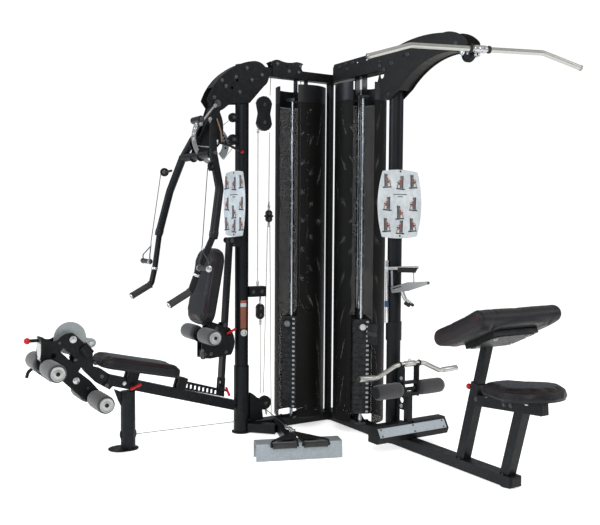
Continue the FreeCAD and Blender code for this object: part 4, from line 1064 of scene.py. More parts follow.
def press_works():
    """The curved guide, toothed sector, links and pulleys that pass the press arms' pull to the cable."""
    hub = pivot("press_swing")
    near, far = -0.0385, 0.040

    def off(x, z, y=near):
        return spot(hub.x + x, y, hub.z + z)

    def band(piece, centre, outer, inner, start, end, thick, finish, steps=20):
        """A flat plate between two arcs."""
        line = arc(centre, X_WAY, UP, outer, start, end, steps) + arc(centre, X_WAY, UP, inner, end, start,
                                                                      steps)
        piece.slab(line, Y_WAY * thick, finish)

    works = Piece("press_linkage")
    guide = off(0.004, -0.186)
    band(works, guide, 0.152, 0.129, 148, 256, -0.005, SILVER_COAT)
    for angle in (152, 163, 174, 185):
        place = guide + (X_WAY * math.cos(math.radians(angle)) + UP * math.sin(math.radians(angle))) * 0.1405
        works.bolt(place - Y_WAY * 0.005, -Y_WAY, 0.0095, SATIN_STEEL, 0.009)
    works.button(guide + spot(-0.083, -0.005, -0.113), -Y_WAY, 0.006, RED)
    sector = off(0.008, -0.210, far)
    band(works, sector, 0.106, 0.066, -50, 75, 0.006, SILVER_COAT)
    # dark discs on the silver sector stand in for its holes: painted shade where the holes are
    for angle in (60, 48, 36, 24, 12, 0, -12):
        place = sector + (X_WAY * math.cos(math.radians(angle)) + UP * math.sin(math.radians(angle))) * 0.086
        works.lathe(place - Y_WAY * 0.0005, -Y_WAY, [(-0.002, 0.0068), (0.0004, 0.0064), (0.0004, 0)],
                    RUBBER, 20)
    works.bar(off(-0.019, -0.014, -0.053), off(-0.104, -0.118, -0.053), 0.0068, LINK_STEEL)
    works.bar(off(-0.049, -0.088, -0.050), off(-0.017, -0.191, -0.050), 0.0060, LINK_STEEL)
    works.bar(off(-0.119, -0.234, -0.046), off(-0.019, -0.236, -0.046), 0.0050, LINK_STEEL)
    works.tube(rounded([off(-0.007, -0.081, -0.0545), off(0.018, -0.150, -0.0545),
                        off(0.023, -0.203, -0.0545)],
                       0.05), 0.0042, COPPER_CABLE, 12)
    works.bolt(off(-0.009, -0.205, -0.046), -Y_WAY, 0.012, SATIN_STEEL, 0.011)
    for x, z in ((-0.019, -0.014), (-0.104, -0.118), (-0.049, -0.088)):
        works.bolt(off(x, z, -0.058), -Y_WAY, 0.0085, LINK_STEEL, 0.006)
    works.bar(off(0.048, -0.210, -0.046), off(0.147, -0.251, -0.046), 0.0068, PLASTIC)
    works.bar(off(-0.009, -0.205, -0.040), off(0.060, -0.215, -0.046), 0.0075, PLASTIC)
    works.ball(off(0.152, -0.253, -0.046), 0.0095, RED)
    works.bar(off(-0.101, -0.091, -0.060), off(-0.101, -0.091, 0.044), 0.019, PLASTIC, 32, 0.003)
    works.bolt(off(-0.101, -0.091, -0.060), -Y_WAY, 0.0085, BLACK_BOLT, 0.006)
    works.make("press_cam")
    pivots = Piece("press_pivot_caps")
    for side in (-1, 1):
        pivots.bolt(hub + Y_WAY * (side * 0.0495), Y_WAY * side, 0.015, BLACK_BOLT, 0.010)
    pivots.make("press_cam")
    fixed = Piece("column_pulleys")
    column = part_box("left_column")[0].x
    for height, radius in ((1.766, 0.026), (1.645, 0.030)):
        centre = spot(column - 0.014, 0, height)
        wheel(fixed, centre, Y_WAY, radius, 0.016, PLASTIC)
        for side in (-1, 1):
            ear = [spot(x, side * 0.013, height + z) for x, z in
                   ((column + 0.010, 0.022), (column - 0.016, 0.011), (column - 0.016, -0.011),
                    (column + 0.010, -0.022))]
            fixed.slab(ear, Y_WAY * (side * 0.003), SHADE_BLACK)
            fixed.bolt(centre + Y_WAY * (side * 0.016), Y_WAY * side, 0.0075, BLACK_BOLT, 0.006)
    head_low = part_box("press_head")[0].y
    head_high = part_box("press_head")[1].y
    places = [(-0.669, 1.982), (-0.730, 1.927), (-0.602, 2.037), (-0.570, 1.975), (-0.645, 1.903),
              (-0.754, 1.957),
              (-0.507, 2.009), (-0.800, 1.860)]
    bolts(fixed, [spot(x, head_low, z) for x, z in places], -Y_WAY, 0.0085)
    bolts(fixed, [spot(x, head_high, z) for x, z in places], Y_WAY, 0.0085)
    fixed.make("frame")
    tops = [(spot(column - 0.036, 0, 1.750), off(0.060, -0.105, 0.0)),
            (spot(column - 0.042, 0, 1.640), off(0.098, -0.195, 0.0)),
            (spot(column - 0.005, 0, 1.612), off(0.060, -0.296, 0.0))]
    for index, (start, end) in enumerate(tops):
        stretching_cable(f"press_cable_{index + 1}", divided(start, end, 14), 0.0022)


def arm_details():
    """Grips, collars, shoulder tubes and pivot caps on the two press arms."""
    for label, side in (("left", 1), ("right", -1)):
        arm = Piece(f"{label}_arm_grip")
        bend, tip = spot(-1.040, side * 0.270, 0.838), spot(-1.150, side * 0.270, 0.778)
        run = (tip - bend).normalized()
        start = bend + run * 0.006
        length = (tip - start).length
        profile = [(0, 0.0158), (0, 0.0215), (0.003, 0.0225), (0.006, 0.0185)]
        profile += [(0.006 + (length - 0.006) * step / 14, 0.0184 if step % 2 else 0.0190)
                    for step in range(1, 14)]
        profile += [(length, 0.0188), (length + 0.004, 0.0205), (length + 0.007, 0.0195),
                    (length + 0.008, 0.010),
                    (length + 0.008, 0)]
        arm.lathe(start, run, profile, GRIP, 32)
        above = spot(-1.012, side * 0.286, 0.930)
        along = (above - bend).normalized()
        arm.lathe(above - along * 0.016, along, [(0, 0.0158), (0, 0.0178), (0.0015, 0.0185), (0.012, 0.0185),
                                                 (0.0135, 0.0178), (0.0135, 0.0158)], SATIN_STEEL, 32)
        arm.lathe(start + run * (length + 0.008), run,
                  [(0, 0.006), (0, 0.0165), (0.004, 0.0165), (0.006, 0.0150),
                                                        (0.006, 0.0085), (0.001, 0.0080), (0.001, 0)],
                  SATIN_STEEL, 28)
        arm.make("press_arms")
        shoulder = Piece(f"{label}_arm_shoulder")
        bow = [spot(-0.880, side * 0.198, 1.545), spot(-0.850, side * 0.132, 1.640),
               spot(-0.818, side * 0.068, 1.712)]
        shoulder.tube(rounded(bow, 0.10), 0.0208, BLACK, 24)
        shoulder.make("press_arms", bevel=0.002)
        knee = Piece(f"{label}_arm_knee")
        joint_at = spot(-0.880, side * 0.198, 1.545)
        knee.lathe(joint_at, Y_WAY * side, [(0.020, 0.0150), (0.024, 0.0150), (0.027, 0.012), (0.027, 0)],
                   PLASTIC, 28)
        knee.bolt(joint_at + Y_WAY * (side * 0.026), Y_WAY * side, 0.009, BLACK_BOLT, 0.007)
        lower = spot(-0.959, side * 0.365, 1.108)
        upper = spot(-0.905, side * 0.325, 1.361)
        way = (upper - lower).normalized()
        knee.lathe(lower + way * 0.010, way, [(0, 0.016), (0, 0.0225), (0.004, 0.0238), (0.024, 0.0238),
                                              (0.028, 0.0225), (0.028, 0.020)], PLASTIC, 28)
        knee.make("press_arms")


def cable_handles():
    """The two press-fly stirrups: a foam grip, its end discs, a strap and the cable up to the arm."""
    for label, side in (("left", 1), ("right", -1)):
        low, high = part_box(f"{label}_cable_handle")
        centre = (low + high) / 2
        half = (high.y - low.y) / 2
        grip = Piece(f"{label}_stirrup")
        profile = [(-half + 0.004, 0.010), (-half + 0.004, 0.0135)]
        profile += [(-half + 0.006 + (2 * half - 0.012) * step / 12, 0.0140 if step % 2 else 0.0134)
                    for step in range(13)]
        profile += [(half - 0.004, 0.0135), (half - 0.004, 0.010)]
        grip.lathe(centre, Y_WAY, profile, GRIP, 28)
        for end in (-1, 1):
            grip.lathe(centre, Y_WAY * end,
                       [(half - 0.004, 0.0), (half - 0.004, 0.0155), (half - 0.001, 0.0165),
                                             (half + 0.002, 0.0160), (half + 0.004, 0.011),
                        (half + 0.004, 0)],
                       SATIN_STEEL, 28)
        apex = centre + spot(0.010, -side * 0.045, 0.088)
        for end in (-1, 1):
            foot = centre + Y_WAY * (end * (half - 0.001)) + UP * 0.015
            grip.tube(rounded([foot, foot + UP * 0.020, apex], 0.03), 0.0034, DARK_CABLE, 12)
        grip.tube(arc(apex + UP * 0.008, Y_WAY, UP, 0.0095, 0, 345, 20), 0.0026, SATIN_STEEL, 10, looped=True)
        item = grip.make(f"{label}_handle")
        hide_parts(f"{label}_cable_handle")
        top = spot(-0.945, side * 0.300, 1.470)
        guide = Piece(f"{label}_cable_guide")
        guide.bar(spot(-0.918, side * 0.262, 1.478), top, 0.007, PLASTIC)
        wheel(guide, top + spot(0, side * 0.006, 0), spot(0.6, side * 0.8, 0), 0.024, 0.014, PLASTIC)
        guide.make("press_arms")
        start, end = top + spot(-0.020, side * 0.012, -0.010), apex + UP * 0.016
        stretching_cable(f"{label}_handle_cable", divided(start, end, 26),
                         0.0022,
                         DARK_CABLE)


def ball_pin(name, node, body, start, way, reach, radius=0.0142):
    """A sprung pin with a ribbed boot and a red ball knob."""
    piece = Piece(name)
    ribs = [(0, 0), (0, 0.0115), (0.003, 0.0115), (0.005, 0.0085)]
    count = max(2, int(reach / 0.008))
    for step in range(count):
        along = 0.006 + (reach - 0.006) * step / count
        ribs += [(along, 0.0082), (along + 0.003, 0.0098), (along + 0.0045, 0.0078)]
    ribs += [(reach, 0.007), (reach + 0.006, 0.0068)]
    piece.lathe(start, way, ribs, PLASTIC, 28)
    profile = [(-radius * math.cos(math.pi * step / 14), radius * math.sin(math.pi * step / 14))
               for step in range(15)]
    piece.lathe(start + way * (reach + radius * 0.75), way, profile, RED, 32)
    item = piece.make(body)
    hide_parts(node)


def bar_pin(name, node, body, stem, first, second, radius=0.0068):
    """A sprung pin pulled by a red cross bar."""
    piece = Piece(name)
    run = (second - first).length
    profile = [(0, 0), (0.0005, radius * 0.6), (0.003, radius), (run * 0.3, radius * 1.05),
               (run * 0.5, radius * 0.86),
               (run * 0.7, radius * 1.05), (run - 0.003, radius), (run - 0.0005, radius * 0.6), (run, 0)]
    piece.lathe(first, second - first, profile, RED, 24)
    piece.tube(stem, 0.0055, PLASTIC, 16)
    way = (stem[1] - stem[0]).normalized()
    piece.lathe(stem[0], way,
                [(0, 0), (0, 0.0105), (0.004, 0.0105), (0.007, 0.0075), (0.012, 0.0072), (0.013, 0.005)],
                PLASTIC, 24)
    item = piece.make(body)
    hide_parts(node)


def pull_pins():
    """Every pin that the user pulls to set a length or an angle."""
    low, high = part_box("leg_pin")
    ball_pin("leg_angle_knob", "leg_pin", "leg_angle_pin", spot(high.x - 0.0005, 0, (low.z + high.z) / 2),
             -X_WAY,
             0.044, 0.0160)
    low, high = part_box("preacher_pin")
    way = travel("arm_pad_pin_pull")
    centre = (low + high) / 2
    ball_pin("arm_pad_knob", "preacher_pin", "arm_pad_pin", centre - way * 0.0205, way, 0.020, 0.0142)
    low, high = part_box("seat_pin")
    hole = spot((low.x + high.x) / 2, high.y - 0.0004, (low.z + high.z) / 2)
    bar_at = hole + spot(0.006, -0.034, -0.004)
    half = spot(0.030, 0, 0.011)
    bar_pin("seat_slide_handle", "seat_pin", "bench_pin", [hole, hole - Y_WAY * 0.012, bar_at], bar_at - half,
            bar_at + half)
    low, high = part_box("back_pin")
    hole = spot((low.x + high.x) / 2, high.y - 0.0003, (low.z + high.z) / 2)
    bar_at = hole + spot(0.022, -0.032, -0.014)
    half = spot(0.011, 0, -0.026)
    bar_pin("back_post_handle", "back_pin", "back_post_pin",
            rounded([hole, hole - Y_WAY * 0.014, bar_at], 0.02), bar_at - half, bar_at + half)
    low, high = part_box("back_rest_pin")
    hole = spot((low.x + high.x) / 2, high.y - 0.0003, (low.z + high.z) / 2)
    bar_at = hole + spot(0.0045, -0.016, 0.026)
    half = spot(0.0285, 0, 0.013)
    bar_pin("back_pad_handle", "back_rest_pin", "back_rest_pin",
            rounded([hole, hole - Y_WAY * 0.012, bar_at], 0.012), bar_at - half, bar_at + half)


def leg_station():
    """Fasteners, a pale front plate that paints the light the lever's front catches, and the side handle of
    the leg lever.
    """
    cam_pivot = pivot("leg_extension")
    plate = Piece("lever_front_highlight_plate")
    # a pale steel plate on the lever's front: a painted highlight where light catches that face
    plate.slab([spot(-1.7284, y, z) for y,
                z in ((-0.042, 0.508), (0.042, 0.508), (0.042, 0.600), (0.030, 0.614),
                                                 (-0.030, 0.614), (-0.042, 0.600))], X_WAY * -0.0016,
               SATIN_STEEL)
    for y in (-0.032, 0.032):
        for z in (0.516, 0.596):
            plate.button(spot(-1.7302, y, z), -X_WAY, 0.006, BLACK_BOLT, 0.003)
    for side in (-1, 1):
        plate.bolt(spot(-1.561, side * 0.052, 0.396), Y_WAY * side, 0.0125, SATIN_STEEL, 0.010)
        plate.bolt(pivot("upper_roller_spin") + Y_WAY * (side * 0.0425), Y_WAY * side, 0.0095, SATIN_STEEL,
                   0.006)
        plate.bolt(pivot("lower_roller_spin") + Y_WAY * (side * 0.0425), Y_WAY * side, 0.0095, SATIN_STEEL,
                   0.006)
        for x, z in ((-1.640, 0.590), (-1.560, 0.500), (-1.500, 0.352)):
            plate.bolt(spot(x, side * 0.0440, z), Y_WAY * side, 0.0075, BLACK_BOLT, 0.006)
    handle = rounded([spot(-1.661, 0.046, 0.392), spot(-1.661, 0.200, 0.392), spot(-1.711, 0.200, 0.434),
                      spot(-1.736, 0.200, 0.415), spot(-1.744, 0.200, 0.385)], 0.035)
    plate.tube(handle, 0.0085, SHADE_BLACK, 18)
    plate.make("leg_arm")
    caps = Piece("cam_axle_nuts")
    for side in (-1, 1):
        caps.bolt(cam_pivot + Y_WAY * (side * 0.0575), Y_WAY * side, 0.0135, SATIN_STEEL, 0.009)
    lobe = cam_pivot + spot(0.108, 0, -0.033)
    for side in (-1, 1):
        caps.bolt(lobe + Y_WAY * (side * 0.004), Y_WAY * side, 0.009, SATIN_STEEL, 0.007)
    caps.make("leg_drive")
    foot = Piece("leg_pulley")
    centre = spot(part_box("bench_frame")[0].x + 0.124, 0, 0.078)
    wheel(foot, centre, Y_WAY, 0.044, 0.018, PLASTIC, SATIN_STEEL)
    foot.make("frame")
    fixed = Piece("bench_fasteners")
    for side in (-1, 1):
        for x, z in ((-1.420, 0.400), (-1.452, 0.470), (-1.400, 0.352)):
            fixed.bolt(spot(x, side * 0.0335 if x > -1.42 else side * 0.0185, z), Y_WAY * side, 0.0085,
                       BLACK_BOLT, 0.006)
        fixed.bolt(spot(-1.302, side * 0.0255, 0.352), Y_WAY * side, 0.0085, SATIN_STEEL, 0.006)
    for a in (45, 135, 225, 315):
        around = spot(math.cos(math.radians(a)), math.sin(math.radians(a)), 0)
        fixed.bolt(spot(-1.315, 0, 0.006) + around * 0.050, UP, 0.007, BLACK_BOLT, 0.005)
        fixed.lathe(spot(-1.315, 0, 0.0035) + around * 0.050, UP,
                    [(0, 0.013), (0.002, 0.013), (0.0026, 0.012),
                                                                   (0.0026, 0)], SHADE_BLACK, 24)
    fixed.lathe(spot(-1.315, 0, 0.0045), UP, [(0, 0.066), (0.002, 0.066), (0.003, 0.064), (0.003, 0.037)],
                SHADE_BLACK, 44)
    fixed.make("frame")


def back_rest_details():
    """The sprung plunger and bolts of the back rest, and the plain caps and panel on the column."""
    rest = Piece("back_rest_fittings")
    low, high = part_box("back_carriage")
    axle = pivot("back_roller_spin")
    plunger = spot(axle.x - 0.006, low.y - 0.014, 0.444)
    rest.lathe(plunger, UP,
               [(0, 0), (0, 0.010), (0.003, 0.012), (0.044, 0.012), (0.048, 0.0095), (0.058, 0.0095),
                             (0.061, 0.006), (0.063, 0)], BLACK_BOLT, 28)
    rest.box(plunger + spot(0, 0.010, 0.024), (0.020, 0.012, 0.026), SHADE_BLACK)
    for side, face in ((-1, low.y), (1, high.y)):
        for x, z in ((-0.850, 0.466), (-0.812, 0.466), (-0.780, 0.604), (-0.728, 0.620), (-0.720, 0.470)):
            rest.bolt(spot(x, face, z), Y_WAY * side, 0.0078, BLACK_BOLT, 0.006)
        rest.bolt(spot(axle.x, face, axle.z), Y_WAY * side, 0.0125, SATIN_STEEL, 0.0035)
    rest.make("back_rest")
    post = Piece("back_post_fittings")
    top = pivot("back_recline")
    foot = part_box("back_pin")
    for side in (-1, 1):
        post.bolt(spot(foot[0].x + 0.010, side * 0.0125, 0.300), Y_WAY * side, 0.0075, SATIN_STEEL, 0.006)
    post.make("back_post_swing")
    fixed = Piece("left_column_caps")
    for side in (-1, 1):
        fixed.bolt(top + Y_WAY * (side * 0.032), Y_WAY * side, 0.0095, BLACK_BOLT, 0.008)
    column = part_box("left_column")
    centre = spot((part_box("left_column")[0].x + column[1].x) / 2, 0, 0)
    radius = 0.038
    way = spot(math.cos(math.radians(-98)), math.sin(math.radians(-98)), 0)
    side = UP.cross(way)
    face = centre + way * (radius - 0.003) + UP * 0.570
    oval = [face + side * (0.019 * math.cos(a)) + UP * (0.019 * math.sin(a))
            for a in [2 * math.pi * step / 32 for step in range(32)]]
    fixed.slab(oval, way * 0.0065, SATIN_STEEL)
    fixed.button(face + way * 0.0065, way, 0.012, SATIN_STEEL, 0.005)
    panel = []
    for low_z, high_z, finish in ((0.594, 0.716, LABEL), (0.716, 0.736, MARK), (0.736, 0.752, FIGURE_RED)):
        bottom, upper = [], []
        for step in range(13):
            a = math.radians(-126 + 52 * step / 12)
            out = spot(math.cos(a), math.sin(a), 0)
            bottom.append(centre + out * (radius + 0.0007) + UP * low_z)
            upper.append(centre + out * (radius + 0.0007) + UP * high_z)
        panel.append((bottom, upper, finish))
    for bottom, upper, finish in panel:
        inner = [spot(centre.x + (p.x - centre.x) * 0.985, (p.y) * 0.985, p.z) for p in bottom]
        inner_top = [spot(centre.x + (p.x - centre.x) * 0.985, (p.y) * 0.985, p.z) for p in upper]
        fixed.skin([bottom + inner[::-1], upper + inner_top[::-1]], finish)
    fixed.make("frame")


def chart_sheets():
    """Pictograms on both exercise charts: a grey machine, a red figure and a dark foot for each exercise."""
    low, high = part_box("exercise_charts")
    centre_z = (low.z + high.z) / 2
    for name, face, side, out in (
            ("right_chart_art", spot(0, low.y - 0.0003, centre_z), X_WAY, -Y_WAY),
            ("left_chart_art", spot(low.x - 0.0003, high.y - 0.131, centre_z), -Y_WAY, -X_WAY)):
        art = Piece(name)

        def panel(centre, points, finish, layer):
            line = [centre + side * x + UP * z + out * (0.0003 * layer) for x, z in points]
            art.slab(line, out * 0.0003, finish)

        for row, height in enumerate((0.122, 0.002, -0.110)):
            for column, across in enumerate((-0.083, 0.0, 0.084)):
                tilt = 0.004 * ((row * 3 + column) % 3 - 1)
                lower = (-0.008, -0.046, -0.012)[row] if column == 1 else 0
                centre = face + side * across + UP * (height + lower)
                flip = 1 if (row + column) % 2 else -1

                def part(points, finish, layer):
                    panel(centre, [(x * flip + tilt, z) for x, z in points], finish, layer)

                part([(-0.004, -0.030), (0.018, -0.030), (0.020, 0.034), (-0.001, 0.034)], FIGURE_GREY, 0)
                part([(-0.028, -0.036), (0.030, -0.040), (0.030, -0.033), (-0.027, -0.030)], FIGURE_DARK, 1)
                part([(0.014, -0.034), (0.019, -0.034), (0.021, 0.036), (0.016, 0.036)], FIGURE_DARK, 1)
                part([(-0.022, -0.004), (0.002, -0.010), (0.003, -0.004), (-0.020, 0.002)], FIGURE_DARK, 1)
                part([(-0.009, -0.012), (0.004, -0.013), (0.006, 0.012), (-0.005, 0.013)], FIGURE_RED, 2)
                part([(-0.021, -0.014), (0.002, -0.015), (0.001, -0.008), (-0.018, -0.007)], FIGURE_TAN, 2)
                part([(-0.023, -0.030), (-0.018, -0.030), (-0.016, -0.012), (-0.021, -0.012)], FIGURE_RED, 2)
                part([(-0.003, 0.014), (0.005, 0.014), (0.005, 0.023), (-0.002, 0.023)], FIGURE_TAN, 2)
                part([(-0.018, 0.004), (-0.003, 0.006), (-0.003, 0.010), (-0.018, 0.009)], FIGURE_TAN, 2)
        for width, z in ((0.046, 0.048), (0.018, 0.036)):
            panel(face + UP * z, [(-width, 0), (width, 0), (width, 0.005), (-width, 0.005)], FIGURE_GREY, 0)
        for z in (0.172, -0.170):
            art.button(face + UP * z, out, 0.0055, BLACK_BOLT, 0.003)
        art.make("frame")


def foot_station():
    """The tread plate and end caps of the foot rest, the curl bar and the ankle upright's fasteners."""
    low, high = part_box("foot_rest")
    tread = Piece("foot_rest_tread")
    normal = spot(0, -0.854, 0.520)
    top, foot = spot(0, -0.764, 0.1345), spot(0, -0.7895, 0.0925)
    half = high.x - 0.012
    lift = normal * 0.0004
    tread.slab([foot - X_WAY * half + lift, foot + X_WAY * half + lift, top + X_WAY * half + lift,
                top - X_WAY * half + lift], normal * 0.0018, TREAD)
    slope = (top - foot)
    for x in (-half + 0.018, 0.006, half - 0.018):
        for share in (0.16, 0.84):
            tread.button(foot + slope * share + X_WAY * x + normal * 0.0021, normal, 0.0052, BLACK_BOLT,
                         0.003)
    profile = [(-0.757, 0.146), (-0.763, 0.136), (-0.791, 0.090), (-0.780, 0.060), (-0.705, 0.060),
               (-0.705, 0.146)]
    for side, x in ((-1, low.x), (1, high.x)):
        tread.slab([spot(x, y, z) for y, z in profile], X_WAY * (side * 0.003), SHADE_BLACK)
    tread.make("frame", bevel=0.0006)

    y = middle("curl_bar").y
    half_bar = [spot(0.326, y, 0.400), spot(0.210, y, 0.396), spot(0.100, y, 0.446), spot(0.066, y, 0.4508)]
    mirrored = [spot(-p.x, p.y, p.z) for p in half_bar]
    bar = Piece("curl_handle")
    bar.tube(rounded(mirrored + half_bar[::-1], 0.05, 9), 0.0125, BAR_STEEL, sides=28)
    sleeve = [(-0.034, 0.012), (-0.034, 0.0150), (-0.032, 0.0160), (0.032, 0.0160), (0.034, 0.0150),
              (0.034, 0.012)]
    bar.lathe(spot(0, y, 0.4508), X_WAY, sleeve, BAR_STEEL, 32)
    for side in (-1, 1):
        end, start = spot(side * 0.326, y, 0.400), spot(side * 0.232, y, 0.3967)
        run = (end - start).length
        grip = [(0, 0.012), (0, 0.0142), (0.002, 0.0150), (run - 0.002, 0.0150), (run, 0.0142),
                (run + 0.001, 0.012)]
        bar.lathe(start, end - start, grip, BAR_STEEL, 28)
        bar.lathe(end, end - start, [(0, 0), (0, 0.0146), (0.003, 0.0146), (0.005, 0.012), (0.005, 0)],
                  RUBBER, 28)
        bar.lathe(spot(side * 0.062, y, 0.4508), X_WAY * side, [(0, 0.012), (0, 0.0165), (0.003, 0.0172),
                                                                (0.006, 0.0165), (0.006, 0.012)], RUBBER, 28)
    bar.tube(arc(spot(0, y, 0.4680), X_WAY, UP, 0.0085, 0, 345, 20), 0.0028, SATIN_STEEL, 10, looped=True)
    item = bar.make("curl")
    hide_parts("curl_bar")

    marks = Piece("ankle_station_fasteners")
    for side in (-1, 1):
        x = side * 0.053
        marks.bolt(spot(x, y, 0.378), X_WAY * side, 0.0078, SATIN_STEEL, 0.006)
        marks.bolt(spot(x, y, 0.318), X_WAY * side, 0.0125, SATIN_STEEL, 0.004)
        marks.bolt(spot(side * 0.004, -0.683, 0.216), X_WAY * side, 0.0085, SATIN_STEEL, 0.006)
        marks.bolt(spot(side * 0.004, -0.683, 0.276), X_WAY * side, 0.0085, BLACK_BOLT, 0.006)
    for x in (-0.030, 0.030):
        marks.bolt(spot(x, y + 0.010, 0.300), UP, 0.0065, BLACK_BOLT, 0.005)
    hook = arc(spot(-0.048, y - 0.004, 0.448), Y_WAY, UP, 0.018, 180, 340, 10)
    marks.tube(hook, 0.0030, SATIN_STEEL, 12)
    marks.make("frame")


def row_station():
    """The rowing handle on its foot plate, its cable, and the low pulley with its axle plates."""
    low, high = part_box("row_foot_plate")
    way = travel("row_pull")
    side_way = UP.cross(way)
    centre = spot((low.x + high.x) / 2, (low.y + high.y) / 2, 0)
    apex = centre - way * 0.120 + UP * 0.098
    handle = Piece("row_grip_pair")
    for side in (-1, 1):
        feet = []
        for reach in (0.014, 0.146):
            foot = centre + way * 0.063 + side_way * (side * reach) + UP * 0.080
            knee = centre + way * 0.054 + side_way * (side * reach) + UP * 0.099
            feet.append(foot)
            handle.tube(rounded([apex, knee, foot], 0.012), 0.0046, BLACK, 14)
            handle.ball(foot, 0.0078, PLASTIC, 16)
        axis = (feet[1] - feet[0]).normalized()
        run = (feet[1] - feet[0]).length
        profile = [(0.006, 0.006), (0.006, 0.0150), (0.009, 0.0160), (0.013, 0.0142)]
        profile += [(0.013 + (run - 0.026) * step / 10, 0.0142 if step % 2 else 0.0136)
                    for step in range(1, 10)]
        profile += [(run - 0.013, 0.0142), (run - 0.009, 0.0160), (run - 0.006, 0.0150), (run - 0.006, 0.006)]
        handle.lathe(feet[0], axis, profile, GRIP, 28)
        fold = [apex + UP * 0.003, centre + way * 0.030 + side_way * (side * 0.020) + UP * 0.099,
                centre + way * 0.030 + side_way * (side * 0.138) + UP * 0.099]
        handle.slab(fold, UP * 0.0035, WARM_BLACK)
    handle.lathe(apex - UP * 0.006, UP, [(0, 0), (0, 0.010), (0.002, 0.0115), (0.018, 0.0115), (0.020, 0.010),
                                         (0.020, 0)], SATIN_STEEL, 28)
    pull = spot(-0.455, -0.004, 0.1125)
    lead = (pull - apex).normalized()
    across = lead.cross(UP).normalized()
    snap_hook(handle, apex + lead * 0.062, apex + lead * 0.008, UP, 0.014, 0.0036, CHROME)
    snap_hook(handle, apex + lead * 0.104, apex + lead * 0.056, across, 0.013, 0.0036, CHROME)
    handle.lathe(apex + lead * 0.100, lead,
                 [(0, 0), (0, 0.0055), (0.003, 0.007), (0.026, 0.007), (0.030, 0.004),
                                             (0.030, 0)], SATIN_STEEL, 20)
    item = handle.make("row_grip", bevel=0.0004)
    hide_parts("row_handle")
    start, end = pull, apex + lead * 0.126
    stretching_cable("row_cable", divided(start, end, 24), 0.0026, DARK_CABLE)

    pulley = Piece("low_wheel")
    wheel(pulley, pivot("low_pulley_spin"), Y_WAY, 0.0408, 0.018, PLASTIC, SATIN_STEEL)
    item = pulley.make("row_pulley")
    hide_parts("low_pulley")
    axle = Piece("low_pulley_axle")
    at = pivot("low_pulley_spin")
    for side in (-1, 1):
        arm = [at + spot(x, side * 0.0150, z) for x, z in ((-0.036, -0.030), (0.014, -0.014), (0.014, 0.014),
                                                         (-0.036, 0.030))]
        axle.slab(arm, Y_WAY * (side * 0.003), SHADE_BLACK)
        axle.bolt(at + Y_WAY * (side * 0.018), Y_WAY * side, 0.0085, BLACK_BOLT, 0.006)
    axle.make("frame")


